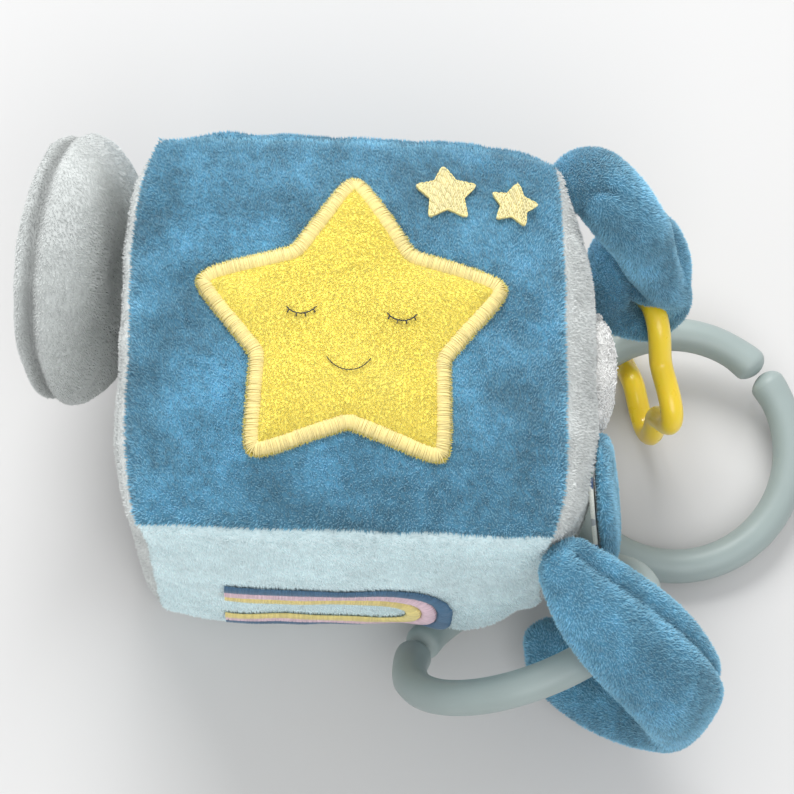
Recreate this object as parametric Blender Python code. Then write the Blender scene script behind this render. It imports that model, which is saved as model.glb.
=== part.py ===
"""Soft fabric activity block with an ear, a lift-up flap, two straps, two link rings and a star teether.

Metres, +Z up.  The origin is the middle of the flat underside.  +X is the side with the flap,
-Y is the side with the rainbow.
"""
import bpy
import bmesh
from math import sin, cos, pi, radians, sqrt, atan2
from mathutils import Vector, Matrix

for old in list(bpy.data.objects):
    bpy.data.objects.remove(old, do_unlink=True)

# Stuffed block: size over the seams, how far each face swells, how the corners round.
block_width = 0.102
block_depth = 0.100
block_height = 0.098
seam_rise = 0.002
panel_thickness = 0.0022
seat_gap = 0.0003
lay_gap = 0.0005
filling_gap = 0.0009
top_crown = 0.0050
bottom_crown = 0.0065
left_crown = 0.0065
right_crown = 0.0090
front_crown = 0.0065
back_crown = 0.0110
edge_draw = 0.0008
corner_lift = 0.0190
corner_flare = 0.0050
corner_round_share = 0.022
crown_power = 4
corner_power = 4
seam_share = 0.9925
panel_steps = 8

# Rattle in the middle of the filling.
rattle_radius = 0.0150
rattle_half_height = 0.0120
rattle_wall = 0.0012
pocket_clearance = 0.0008
bead_radius = 0.0027
bead_count = 3
bead_ring_radius = 0.0056

# Star patch on the top, its border, its face and the two small stars.
star_centre_shares = (-0.027, 0.004)
star_tip_radius = 0.0425
star_notch_radius = 0.0252
star_turn = radians(90)
star_round_share = 0.945
star_round_power = 26
star_points = 5
border_width = 0.0037
border_thickness = 0.0016
patch_thickness = 0.0012
patch_crown = 0.0024
stitch_width = 0.0008
stitch_thickness = 0.0005
eye_radius = 0.0046
eye_offset_shares = ((-0.285, 0.085), (0.285, 0.055))
eye_sweep = radians(96)
smile_radius = 0.0062
smile_offset_shares = (-0.010, -0.125)
smile_sweep = radians(120)
small_star_thickness = 0.0012
small_star_radii = (0.0080, 0.0060)
small_star_notch_share = 0.52
small_star_centre_shares = ((0.416, 0.728), (0.746, 0.694))
small_star_turns = (radians(94), radians(80))

# Rainbow on the front: three bands of stitching.
rainbow_band = 0.0038
rainbow_thread = 0.0009
rainbow_inner_radius = 0.0070
rainbow_leg = 0.0400
rainbow_centre_shares = (0.19, -0.24)
rainbow_bands = ("rainbow_yellow", "rainbow_pink", "rainbow_blue")

# Cloud patch on the right.
cloud_radius = 0.0135
cloud_bump_share = 0.11
cloud_bumps = 6
cloud_thickness = 0.0020
cloud_gap = 0.0007
cloud_crown = 0.0028
cloud_centre_shares = (0.08, 0.28)

# Ear on the left.
ear_radius = 0.0360
ear_outer_height = 0.0120
ear_inner_height = 0.0080
ear_dish_share = 0.22
ear_panel = 0.0018
ear_depth_share = 0.600
ear_height_share = 0.115
ear_foot_out = 0.0017
ear_facing = Vector((0.95, -0.14, 0.27)).normalized()
neck_radius = 0.0036
neck_length = 0.0260
neck_press = 0.0003
ear_steps = 24

# Flap on the right.
flap_length = 0.0430
flap_half_width = 0.0138
flap_plush = 0.0022
flap_crown = 0.0016
flap_film = 0.0004
flap_lining = 0.0012
flap_stand = 0.00816
flap_depth_share = -0.47
flap_height_share = 0.61
flap_down = Vector((0.18, -0.24, -0.95)).normalized()

# The two link rings.
ring_radius = 0.0328
ring_tube = 0.0046
ring_split = radians(1.6)
side_ring_out = 0.01142
side_ring_forward = 0.0234
side_ring_tilt = radians(7.4)
side_ring_split_turn = radians(43)
front_ring_in = 0.0024
front_ring_forward = 0.0085
front_ring_rise = 0.03106
front_ring_facing = Vector((-0.400, 0.759, 0.514)).normalized()
front_ring_split_turn = radians(150)

# Star teether.
teether_radius = 0.0209
teether_wave = 0.0034
teether_tube = 0.0031
teether_near = Vector((0.267, -0.964, 0.0)).normalized()
teether_lean = radians(2.5)
teether_turn = radians(27)
teether_stand = 0.02968
teether_back_gap = 0.0272

# The loop strap on the front corner and the knotted strap on the back corner.
strap_half_width = 0.0145
strap_half_thickness = 0.0046
loop_reach = 0.050
loop_shares = (
    (0.024, -0.040, 0.810),
    (0.214, -0.190, 0.660),
    (0.449, -0.340, 0.450),
    (0.653, -0.480, 0.220),
    (0.755, -0.560, -0.040),
    (0.714, -0.600, -0.310),
    (0.561, -0.550, -0.540),
    (0.357, -0.430, -0.690),
    (0.184, -0.270, -0.760),
    (0.092, -0.110, -0.760),
)
loop_width_shares = (0.42, 0.80, 1.00, 1.00, 0.95, 0.90, 0.85, 0.75, 0.58, 0.36)
arm_reach = 0.050
knot_arm_shares = (
    (0.112, -0.110, 0.790),
    (0.204, -0.095, 0.740),
    (0.347, -0.130, 0.640),
    (0.479, -0.200, 0.480),
)
arm_half_width = 0.0115
arm_half_thickness = 0.0080
arm_width_shares = (0.75, 1.0, 1.0, 0.85)
arm_thickness_shares = (0.75, 1.0, 1.0, 0.95)
knot_tube = 0.0070
knot_waist = 0.0044
knot_hold_radius = 0.0104
knot_start = radians(62)
knot_sweep = radians(272)
knot_slip_share = 0.60

# How finely tubes and rings are divided.
tube_sides = 10
path_steps = 3
ring_steps = 40
teether_steps = 40

half_width = block_width / 2
half_depth = block_depth / 2
half_height = (block_height - seam_rise) / 2
middle_height = seam_rise + half_height
SIZES = (half_width, half_depth, half_height)

COLOURS = {
    "plush_blue": ((0.085, 0.235, 0.445, 1), 0.95, 0.0),
    "plush_aqua": ((0.520, 0.740, 0.760, 1), 0.95, 0.0),
    "plush_grey": ((0.400, 0.420, 0.440, 1), 0.95, 0.0),
    "plush_yellow": ((0.860, 0.640, 0.090, 1), 0.95, 0.0),
    "thread_yellow": ((0.870, 0.800, 0.330, 1), 0.6, 0.0),
    "thread_dark": ((0.060, 0.060, 0.070, 1), 0.6, 0.0),
    "thread_pink": ((0.800, 0.450, 0.560, 1), 0.6, 0.0),
    "thread_blue": ((0.120, 0.210, 0.420, 1), 0.6, 0.0),
    "sherpa_white": ((0.850, 0.840, 0.800, 1), 1.0, 0.0),
    "lining_print": ((0.560, 0.600, 0.380, 1), 0.8, 0.0),
    "film_clear": ((0.800, 0.820, 0.840, 1), 0.3, 0.0),
    "filling_white": ((0.900, 0.900, 0.890, 1), 1.0, 0.0),
    "ring_grey": ((0.300, 0.370, 0.370, 1), 0.45, 0.0),
    "teether_yellow": ((0.880, 0.600, 0.050, 1), 0.25, 0.0),
    "rattle_plastic": ((0.750, 0.760, 0.780, 1), 0.4, 0.0),
    "bead_plastic": ((0.700, 0.300, 0.250, 1), 0.4, 0.0),
}


def material(name):
    """Return the named material, made the first time it is asked for."""
    found = bpy.data.materials.get(name)
    if found:
        return found
    colour, rough, metal = COLOURS[name]
    made = bpy.data.materials.new(name)
    made.use_nodes = True
    shader = made.node_tree.nodes["Principled BSDF"]
    shader.inputs["Base Color"].default_value = colour
    shader.inputs["Roughness"].default_value = rough
    shader.inputs["Metallic"].default_value = metal
    made.diffuse_color = colour
    return made


def finish(name, mesh, look, parent=None, origin=None):
    """Turn a bmesh into a named object, faces out, with its origin where it is wanted."""
    bmesh.ops.recalc_face_normals(mesh, faces=mesh.faces)
    data = bpy.data.meshes.new(name)
    mesh.to_mesh(data)
    mesh.free()
    data.shade_smooth()
    data.set_sharp_from_angle(angle=radians(50))
    data.materials.append(material(look))
    made = bpy.data.objects.new(name, data)
    bpy.context.scene.collection.objects.link(made)
    if origin is not None:
        data.transform(Matrix.Translation(-origin))
        made.location = origin
    if parent is not None:
        made.parent = parent
        made.matrix_parent_inverse = Matrix.Translation(-parent.location)
    return made


def empty(name, place, parent=None):
    """An empty that carries what turns on one joint."""
    made = bpy.data.objects.new(name, None)
    made.location = place
    bpy.context.scene.collection.objects.link(made)
    if parent is not None:
        made.parent = parent
        made.matrix_parent_inverse = Matrix.Translation(-parent.location)
    return made


def from_right_corner(side, reach, shares):
    """A place out from an upright corner on the right; its height is a share of the block's half height."""
    out, along, up = shares
    height = middle_height + up * half_height
    return Vector((half_width + reach * out, side * half_depth + reach * along, height))


def spaced(t):
    """Steps from -1 to 1 that lie closer together near the seams."""
    return sin(t * pi / 2)


def swell(t):
    """Full in the middle of a face, nothing at its seams."""
    return 1 - abs(t) ** crown_power


def block_point(a, b, c, inset=0.0):
    """The stuffed block's surface for cube coordinates a, b, c, drawn in by an inset."""
    wide = half_width - inset
    deep = half_depth - inset
    high = half_height - inset
    keep = 1 - corner_round_share * abs(a * b * c) ** corner_power
    x = a * wide * keep
    y = b * deep * keep
    z = c * high * keep
    x += a * (right_crown if a > 0 else left_crown) * swell(b) * swell(c)
    y += b * (back_crown if b > 0 else front_crown) * swell(a) * swell(c)
    z += c * (top_crown if c > 0 else bottom_crown) * swell(a) * swell(b)
    x -= a * edge_draw * (swell(b) * c * c + swell(c) * b * b)
    y -= b * edge_draw * (swell(a) * c * c + swell(c) * a * a)
    near = ((1 + a) / 2) ** 2 * ((1 - b) / 2) ** 2 * ((1 - c) / 2) ** 2
    x += corner_flare * near
    z += corner_lift * near + middle_height
    return Vector((x, y, max(z, inset)))


def split_quad(mesh, quad, other=False):
    """Two triangles for a bent four-sided face, split the same way on every layer."""
    p, q, r, s = quad
    if other:
        mesh.faces.new((p, q, s))
        mesh.faces.new((q, r, s))
    else:
        mesh.faces.new((p, q, r))
        mesh.faces.new((p, r, s))


def grid_faces(mesh, rows, upright):
    """Faces between neighbouring rows; an upright panel is split in mirror image below its middle."""
    for low, high in zip(rows, rows[1:]):
        count = len(low) - 1
        for i in range(count):
            split_quad(mesh, (low[i], low[i + 1], high[i + 1], high[i]), upright and i < count / 2)


def panel(name, face, look):
    """One sewn panel of the block, a shell of even thickness."""
    axis, side = face
    mesh = bmesh.new()
    layers = []
    for inset in (0.0, panel_thickness):
        rows = []
        for i in range(panel_steps + 1):
            row = []
            for j in range(panel_steps + 1):
                u = seam_share * spaced(2 * i / panel_steps - 1)
                v = seam_share * spaced(2 * j / panel_steps - 1)
                cube = [u, v]
                cube.insert(axis, side)
                row.append(mesh.verts.new(block_point(*cube, inset)))
            rows.append(row)
        layers.append(rows)
    grid_faces(mesh, layers[0], axis != 2)
    grid_faces(mesh, layers[1], axis != 2)
    outer, inner = (rim(rows) for rows in layers)
    close_rim(mesh, outer, inner)
    return finish(name, mesh, look)


def rim(rows):
    """The vertices round the edge of a grid, in order."""
    last = len(rows) - 1
    loop = list(rows[0])
    loop += [rows[i][-1] for i in range(1, last)]
    loop += rows[last][::-1]
    loop += [rows[i][0] for i in range(last - 1, 0, -1)]
    return loop


def close_rim(mesh, outer, inner):
    """A wall between two loops of the same length."""
    count = len(outer)
    for i in range(count):
        j = (i + 1) % count
        mesh.faces.new((outer[i], outer[j], inner[j], inner[i]))


def wadding(name, side):
    """Half of the block's filling, with half of the rattle's pocket left to be cut."""
    inset = panel_thickness + filling_gap
    steps = panel_steps
    levels = panel_steps // 2
    split = seat_gap / half_height
    square = ((0, 0), (1, 0), (1, 1), (0, 1))
    mesh = bmesh.new()
    points = {}

    def vertex(i, j, k):
        if (i, j, k) not in points:
            c = side * (split + (1 - split) * spaced(k / levels))
            place = block_point(spaced(2 * i / steps - 1), spaced(2 * j / steps - 1), c, inset)
            points[(i, j, k)] = mesh.verts.new(place)
        return points[(i, j, k)]

    for i in range(steps):
        for j in range(steps):
            for k in (0, levels):
                split_quad(mesh, [vertex(i + p, j + q, k) for p, q in square])
    for k in range(levels):
        for i in range(steps):
            for j in (0, steps):
                split_quad(mesh, [vertex(i + p, j, k + q) for p, q in square])
                split_quad(mesh, [vertex(j, i + p, k + q) for p, q in square])
    made = finish(name, mesh, "filling_white")
    cutter = turned("pocket_cutter_" + name, capsule_outline(pocket_clearance), "filling_white")
    cutter.hide_render = True
    cutter.display_type = "WIRE"
    cut = made.modifiers.new("pocket", "BOOLEAN")
    cut.operation = "DIFFERENCE"
    cut.solver = "EXACT"
    cut.object = cutter
    return made


def capsule_outline(extra):
    """Side view of the whole rattle, from its foot to its top, grown by a little."""
    radius = rattle_radius + extra
    high = rattle_half_height + extra
    steps = 8
    return [(radius * cos(t), high * sin(t)) for t in (pi * (i / steps - 0.5) for i in range(steps + 1))]


def turned(name, outline, look, sides=16):
    """A profile turned about the block's upright middle line."""
    mesh = bmesh.new()
    rings = []
    middle = Vector((0, 0, middle_height))
    for i, (radius, high) in enumerate(outline):
        if i in (0, len(outline) - 1):
            rings.append([mesh.verts.new(middle + Vector((0, 0, high)))])
            continue
        ring = []
        for s in range(sides):
            turn = 2 * pi * s / sides
            ring.append(mesh.verts.new(middle + Vector((radius * cos(turn), radius * sin(turn), high))))
        rings.append(ring)
    join_rings(mesh, rings)
    return finish(name, mesh, look)


def join_rings(mesh, rings):
    """Walls between closed rings, where a ring of one vertex is a tip."""
    for low, high in zip(rings, rings[1:]):
        count = max(len(low), len(high))
        for s in range(count):
            t = (s + 1) % count
            if len(low) == 1:
                mesh.faces.new((low[0], high[s], high[t]))
            elif len(high) == 1:
                mesh.faces.new((low[s], low[t], high[0]))
            else:
                mesh.faces.new((low[s], low[t], high[t], high[s]))


def rattle_shell(name, side):
    """A cup: half of the rattle's hollow case."""
    steps = 6
    lift = seat_gap / 2
    turns = [pi / 2 * i / steps for i in range(steps + 1)]
    outer = [(rattle_radius * cos(t), side * (lift + (rattle_half_height - lift) * sin(t))) for t in turns]
    radius = rattle_radius - rattle_wall
    high = rattle_half_height - rattle_wall
    inner = [(radius * cos(t), side * (lift + (high - lift) * sin(t))) for t in turns]
    return turned(name, outer[::-1] + inner, "rattle_plastic")


def bead(name, turn):
    """A loose bead in the rattle's lower half."""
    floor = middle_height - rattle_half_height + rattle_wall
    share = bead_ring_radius / (rattle_radius - rattle_wall)
    bowl = (rattle_half_height - rattle_wall) * (1 - sqrt(1 - share * share))
    high = floor + bowl + bead_radius + 2 * seat_gap
    place = Vector((bead_ring_radius * cos(turn), bead_ring_radius * sin(turn), high))
    mesh = bmesh.new()
    bmesh.ops.create_icosphere(mesh, subdivisions=2, radius=bead_radius)
    bmesh.ops.translate(mesh, verts=mesh.verts, vec=place)
    return finish(name, mesh, "bead_plastic")


def top_height(x, y):
    """Height of the top panel."""
    return block_height + top_crown * swell(x / half_width) * swell(y / half_depth)


def front_reach(x, z):
    """How far the front panel stands out, as a Y value."""
    c = (z - middle_height) / half_height
    return -half_depth - front_crown * swell(x / half_width) * swell(c)


def side_reach(y, z):
    """How far the right panel stands out, as an X value."""
    c = (z - middle_height) / half_height
    return half_width + right_crown * swell(y / half_depth) * swell(c)


def on_top(x, y, rise):
    return Vector((x, y, top_height(x, y) + rise))


def on_front(x, z, rise):
    return Vector((x, front_reach(x, z) - rise, z))


def on_side(y, z, rise):
    return Vector((side_reach(y, z) + rise, y, z))


def star_reach(turn, tip, notch, first, grow=0.0):
    """Distance from a star's middle to its rounded outline in one direction."""
    sector = 2 * pi / star_points
    off = (turn - first) % sector
    off = min(off, sector - off)
    half = sector / 2
    edge = tip * notch * sin(half) / (tip * sin(off) + notch * sin(half - off))
    soft = star_round_share * tip
    power = -star_round_power
    return (edge ** power + soft ** power) ** (1 / power) + grow


def star_outline(tip, notch, first, grow, steps):
    """Outline points of a star round its own middle."""
    turns = [2 * pi * i / steps for i in range(steps)]
    return [(star_reach(t, tip, notch, first, grow), t) for t in turns]


def pad(name, outline, middle, lay, low, thick, crown, look, shares=(1.0, 0.97, 0.85, 0.6, 0.3)):
    """A padded patch: a flat underside laid on a surface and a crowned top."""
    mesh = bmesh.new()
    layers = []
    for is_top in (True, False):
        rings = []
        for share in shares:
            ring = []
            for reach, turn in outline:
                p = middle[0] + share * reach * cos(turn)
                q = middle[1] + share * reach * sin(turn)
                edge = 0.6 if share == 1.0 else 1.0
                rise = low + (edge * thick + crown * (1 - share * share) if is_top else 0.0)
                ring.append(mesh.verts.new(lay(p, q, rise)))
            rings.append(ring)
        rise = low + (thick + crown if is_top else 0.0)
        rings.append([mesh.verts.new(lay(middle[0], middle[1], rise))])
        join_rings(mesh, rings)
        layers.append(rings)
    close_rim(mesh, layers[0][0], layers[1][0])
    return finish(name, mesh, look)


def band(name, inner, outer, lay, low, thick, look, closed):
    """A raised line of stitching between two outlines."""
    mesh = bmesh.new()
    sections = []
    for (p0, q0), (p1, q1) in zip(inner, outer):
        section = []
        for share, rise in ((0.0, 0.0), (0.15, 1.0), (0.85, 1.0), (1.0, 0.0)):
            p = p0 + (p1 - p0) * share
            q = q0 + (q1 - q0) * share
            lift = low(p, q) if callable(low) else low
            section.append(mesh.verts.new(lay(p, q, lift + thick * rise)))
        sections.append(section)
    if closed:
        sections.append(sections[0])
    for first, second in zip(sections, sections[1:]):
        count = len(first)
        for s in range(count):
            t = (s + 1) % count
            mesh.faces.new((first[s], first[t], second[t], second[s]))
    if not closed:
        mesh.faces.new(sections[0])
        mesh.faces.new(sections[-1][::-1])
    return finish(name, mesh, look)


def polar(outline, middle):
    return [(middle[0] + r * cos(t), middle[1] + r * sin(t)) for r, t in outline]


def smooth_path(points, steps):
    """Points along a rounded line through the given ones."""
    ends = [points[0] * 2 - points[1]] + list(points) + [points[-1] * 2 - points[-2]]
    line = []
    for i in range(len(points) - 1):
        a, b, c, d = ends[i:i + 4]
        for s in range(steps):
            t = s / steps
            line.append(0.5 * ((b * 2) + (c - a) * t + (a * 2 - b * 5 + c * 4 - d) * t * t
                               + (b * 3 - a - c * 3 + d) * t ** 3))
    line.append(points[-1].copy())
    return line


def spread(values, steps):
    """The same spacing as smooth_path for a list of plain numbers."""
    out = []
    for low, high in zip(values, values[1:]):
        out += [low + (high - low) * s / steps for s in range(steps)]
    return out + [values[-1]]


def sweep(name, line, wides, thins, across, look, closed=False, parent=None, origin=None):
    """An oval section carried along a line; across is the wide direction at each point."""
    mesh = bmesh.new()
    rings = []
    count = len(line)
    for i, place in enumerate(line):
        before = line[i - 1] if (i > 0 or closed) else place
        after = line[(i + 1) % count] if (i < count - 1 or closed) else place
        along = (after - before).normalized()
        side = across[i] - along * across[i].dot(along)
        side.normalize()
        up = along.cross(side)
        rounds = [(0.0, 1.0)]
        if not closed and i == 0:
            rounds = [(-0.6, 0.0), (-0.5, 0.55), (-0.25, 0.87), (0.0, 1.0)]
        if not closed and i == count - 1:
            rounds = [(0.0, 1.0), (0.25, 0.87), (0.5, 0.55), (0.6, 0.0)]
        for shift, share in rounds:
            middle = place + along * shift * thins[i]
            if share == 0.0:
                rings.append([mesh.verts.new(middle)])
                continue
            ring = []
            for s in range(tube_sides):
                turn = 2 * pi * s / tube_sides
                offset = side * wides[i] * share * cos(turn) + up * thins[i] * share * sin(turn)
                ring.append(mesh.verts.new(middle + offset))
            rings.append(ring)
    if closed:
        rings.append(rings[0])
    join_rings(mesh, rings)
    return finish(name, mesh, look, parent, origin)


def link_ring(name, centre, facing, first, parent):
    """A round link with a narrow split, turned about its own middle."""
    start = first - facing * first.dot(facing)
    start.normalize()
    other = facing.cross(start)
    line = []
    for i in range(ring_steps + 1):
        turn = ring_split / 2 + (2 * pi - ring_split) * i / ring_steps
        line.append(centre + start * ring_radius * cos(turn) + other * ring_radius * sin(turn))
    mesh = bmesh.new()
    rings = []
    for i, place in enumerate(line):
        out = (place - centre).normalized()
        ring = []
        for s in range(tube_sides):
            turn = 2 * pi * s / tube_sides
            offset = out * ring_tube * cos(turn) + facing * ring_tube * sin(turn)
            ring.append(mesh.verts.new(place + offset))
        rings.append(ring)
    join_rings(mesh, rings)
    mesh.faces.new(rings[0])
    mesh.faces.new(rings[-1][::-1])
    return finish(name, mesh, "ring_grey", parent, centre)


# The block: six panels round a filling in two halves, with a rattle in the middle.
panel("top_panel", (2, 1), "plush_blue")
panel("bottom_panel", (2, -1), "plush_aqua")
panel("front_panel", (1, -1), "plush_aqua")
panel("back_panel", (1, 1), "plush_blue")
panel("left_panel", (0, -1), "plush_grey")
panel("right_panel", (0, 1), "plush_grey")
wadding("wadding_upper", 1)
wadding("wadding_lower", -1)
rattle_shell("rattle_shell_upper", 1)
rattle_shell("rattle_shell_lower", -1)
for number in range(bead_count):
    bead("rattle_bead_%d" % (number + 1), 2 * pi * number / bead_count)

# The star sewn on the top, its satin border, and its sleeping face.
star_middle = (star_centre_shares[0] * half_width, star_centre_shares[1] * half_depth)
outline = star_outline(star_tip_radius, star_notch_radius, star_turn, -border_width - lay_gap, 40)
pad("star_patch", outline, star_middle, on_top, lay_gap, patch_thickness, patch_crown, "plush_yellow",
    (1.0, 0.9, 0.65, 0.35))
outer = star_outline(star_tip_radius, star_notch_radius, star_turn, 0.0, 40)
inner = star_outline(star_tip_radius, star_notch_radius, star_turn, -border_width, 40)
band("star_border", polar(inner, star_middle), polar(outer, star_middle), on_top, lay_gap,
     border_thickness, "thread_yellow", True)


def patch_rise(x, y):
    """How far the star's padded top stands over the top panel."""
    dx = x - star_middle[0]
    dy = y - star_middle[1]
    reach = star_reach(atan2(dy, dx), star_tip_radius, star_notch_radius, star_turn, -border_width)
    share = sqrt(dx * dx + dy * dy) / reach
    return 2 * lay_gap + patch_thickness + patch_crown * (1 - share * share)


def thread_arc(name, middle, radius, sweep_turn):
    """A short curved line of stitching, hanging like a smile."""
    steps = 6
    turns = [-pi / 2 - sweep_turn / 2 + sweep_turn * i / steps for i in range(steps + 1)]
    near = polar([(radius - stitch_width / 2, t) for t in turns], middle)
    far = polar([(radius + stitch_width / 2, t) for t in turns], middle)
    band(name, near, far, on_top, patch_rise, stitch_thickness, "thread_dark", False)


for name, shares in zip(("eye_left", "eye_right"), eye_offset_shares):
    place = (star_middle[0] + shares[0] * star_tip_radius, star_middle[1] + shares[1] * star_tip_radius)
    thread_arc(name, place, eye_radius, eye_sweep)
place = (star_middle[0] + smile_offset_shares[0] * star_tip_radius,
         star_middle[1] + smile_offset_shares[1] * star_tip_radius)
thread_arc("smile", place, smile_radius, smile_sweep)

for name, radius, shares, turn in zip(("small_star_left", "small_star_right"), small_star_radii,
                                      small_star_centre_shares, small_star_turns):
    place = (shares[0] * half_width, shares[1] * half_depth)
    outline = star_outline(radius, radius * small_star_notch_share, turn, 0.0, 20)
    pad(name, outline, place, on_top, lay_gap, small_star_thickness, 0.0, "thread_yellow", (1.0, 0.75))

# The rainbow lies on its side: an arch with its legs to the left.
arch_x = rainbow_centre_shares[0] * half_width
arch_z = middle_height + rainbow_centre_shares[1] * half_height


def arch_line(radius):
    """One edge of the arch, from the end of its upper leg round to the end of its lower one."""
    line = []
    leg_steps = 4
    for i in range(leg_steps):
        line.append((arch_x - rainbow_leg * (1 - i / leg_steps), arch_z + radius))
    turn_steps = 10
    for i in range(turn_steps + 1):
        turn = pi / 2 - pi * i / turn_steps
        line.append((arch_x + radius * cos(turn), arch_z + radius * sin(turn)))
    for i in range(leg_steps):
        line.append((arch_x - rainbow_leg * (i + 1) / leg_steps, arch_z - radius))
    return line


for number, (name, look) in enumerate(zip(rainbow_bands, ("thread_yellow", "thread_pink", "thread_blue"))):
    near = rainbow_inner_radius + number * (rainbow_band + seat_gap)
    far = near + rainbow_band
    band(name, arch_line(near), arch_line(far), on_front, lay_gap, rainbow_thread, look, False)

# The fluffy cloud on the right.
cloud_middle = (cloud_centre_shares[0] * half_depth, middle_height + cloud_centre_shares[1] * half_height)
cloud_turns = [2 * pi * i / 24 for i in range(24)]
cloud_line = [(cloud_radius * (1 + cloud_bump_share * cos(cloud_bumps * t)), t) for t in cloud_turns]
pad("cloud_patch", cloud_line, cloud_middle, on_side, cloud_gap, cloud_thickness, cloud_crown,
    "sherpa_white", (1.0, 0.8, 0.45))

# The ear: two panels round a filling, on a short roll sewn along its foot.
ear_up = (Vector((0, 0, 1)) - ear_facing * ear_facing.z).normalized()
ear_across = ear_up.cross(ear_facing)
ear_y = ear_depth_share * half_depth
ear_z = middle_height + ear_height_share * half_height
neck_y = ear_y - ear_radius * ear_up.y
neck_z = ear_z - ear_radius * ear_up.z - neck_radius


def neck_foot(share):
    """A place on the left panel behind the ear's roll, from one end (-1) to the other (1)."""
    y = neck_y + share * neck_length / 2
    return block_point(-1, y / half_depth, (neck_z - middle_height) / half_height)


neck_ends = [neck_foot(share) for share in (-1, 1)]
neck_way = (neck_ends[1] - neck_ends[0]).normalized()
neck_bulge = max((neck_ends[0] + neck_ends[1]).x / 2 - neck_foot(share / 4).x for share in range(-3, 4))
neck_x = (neck_ends[0] + neck_ends[1]).x / 2 - neck_bulge - neck_radius + neck_press
neck_middle = Vector((neck_x, neck_y, neck_z))
ear_centre = Vector((neck_x - ear_foot_out + ear_radius * ear_up.x, ear_y, ear_z))


def ear_point(share, turn, side, inset):
    """A place on the ear's inner (side 1) or outer (side -1) face."""
    radius = ear_radius - inset
    high = (ear_inner_height if side > 0 else ear_outer_height) - inset
    dome = high * sqrt(max(0.0, 1 - share ** 2.4))
    if side > 0:
        dome *= 1 - ear_dish_share * (1 - share) ** 2
    flat = ear_across * radius * share * cos(turn) + ear_up * radius * share * sin(turn)
    return ear_centre + flat + ear_facing * side * (dome + seat_gap / 2)


def ear_cap(mesh, side, inset, rim_first):
    """Rings of vertices over one face of the ear."""
    shares = (1.0, 0.985, 0.93, 0.80, 0.60, 0.34)
    rings = []
    for share in shares:
        turns = [2 * pi * s / ear_steps for s in range(ear_steps)]
        rings.append([mesh.verts.new(ear_point(share, t, side, inset)) for t in turns])
    rings.append([mesh.verts.new(ear_point(0.0, 0.0, side, inset))])
    return rings if rim_first else rings[::-1]


ear_pivot = empty("ear_pivot", neck_middle)
for name, side in (("ear_outer_panel", -1), ("ear_inner_panel", 1)):
    mesh = bmesh.new()
    shells = []
    for inset in (0.0, ear_panel):
        rings = ear_cap(mesh, side, inset, True)
        join_rings(mesh, rings)
        shells.append(rings[0])
    close_rim(mesh, shells[0], shells[1])
    finish(name, mesh, "plush_grey", ear_pivot, neck_middle)
mesh = bmesh.new()
inset = ear_panel + lay_gap
lower = ear_cap(mesh, -1, inset, False)
upper = ear_cap(mesh, 1, inset, True)
join_rings(mesh, lower + upper)
finish("ear_wadding", mesh, "filling_white", ear_pivot, neck_middle)
half_neck = neck_way * neck_length / 2
neck_line = [neck_middle + half_neck * (i / 3 - 1) for i in range(7)]
sweep("ear_neck", neck_line, [neck_radius] * 7, [neck_radius] * 7, [Vector((1, 0, 0))] * 7, "plush_grey")

# The flap: plush outside, a crackling film, and a printed lining towards the block.
flap_y = flap_depth_share * half_depth
flap_z = middle_height + flap_height_share * half_height
flap_top = Vector((half_width + flap_stand, flap_y, flap_z))
flap_out = (Vector((1, 0, 0)) - flap_down * flap_down.x).normalized()
flap_across = flap_out.cross(flap_down)
flap_pivot = empty("flap_pivot", flap_top)
flap_shape = []
for i in range(28):
    turn = 2 * pi * i / 28
    long_share = 0.5 * flap_length
    wide_share = flap_half_width
    reach = 1 / sqrt((cos(turn) / long_share) ** 2 + (sin(turn) / wide_share) ** 2)
    flap_shape.append((reach, turn))


def on_flap(p, q, rise):
    """A place on the flap: p down its length from the hinge, q across, rise away from the block."""
    return flap_top + flap_down * p + flap_across * q + flap_out * rise


flap_middle = (flap_length / 2, 0.0)
film_low = flap_lining + seat_gap
plush_low = film_low + flap_film + seat_gap
for name, low, thick, crown, look in (
        ("flap_lining", 0.0, flap_lining, 0.0, "lining_print"),
        ("flap_film", film_low, flap_film, 0.0, "film_clear"),
        ("flap_plush", plush_low, flap_plush, flap_crown, "plush_blue")):
    made = pad(name, flap_shape, flap_middle, on_flap, low, thick, crown, look, (1.0, 0.9))
    made.data.transform(Matrix.Translation(-flap_top))
    made.location = flap_top
    made.parent = flap_pivot
    made.matrix_parent_inverse = Matrix.Translation(-flap_pivot.location)

# The strap at the back corner, which is looped and knotted round the star teether's upper tip.
teether_up = Vector((sin(teether_lean), 0, cos(teether_lean)))
teether_side = teether_near.cross(teether_up).normalized()
teether_up = teether_side.cross(teether_near)
lowest = min(sin(t) * (teether_radius + teether_wave * cos(star_points * (t - teether_turn)))
             for t in (2 * pi * i / 360 for i in range(360)))
teether_height = teether_tube + seat_gap - lowest * teether_up.z
teether_x = half_width + teether_stand
teether_y = half_depth - teether_back_gap
teether_centre = Vector((teether_x, teether_y, teether_height))


def teether_place(turn, radius):
    return teether_centre + teether_near * radius * cos(turn) + teether_up * radius * sin(turn)


hold_turn = teether_turn + 2 * pi / star_points
hold_place = teether_place(hold_turn, teether_radius + teether_wave)
hold_axis = (teether_near * -sin(hold_turn) + teether_up * cos(hold_turn)).normalized()
hold_out = (teether_near * cos(hold_turn) + teether_up * sin(hold_turn)).normalized()
hold_side = hold_axis.cross(hold_out)

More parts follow.
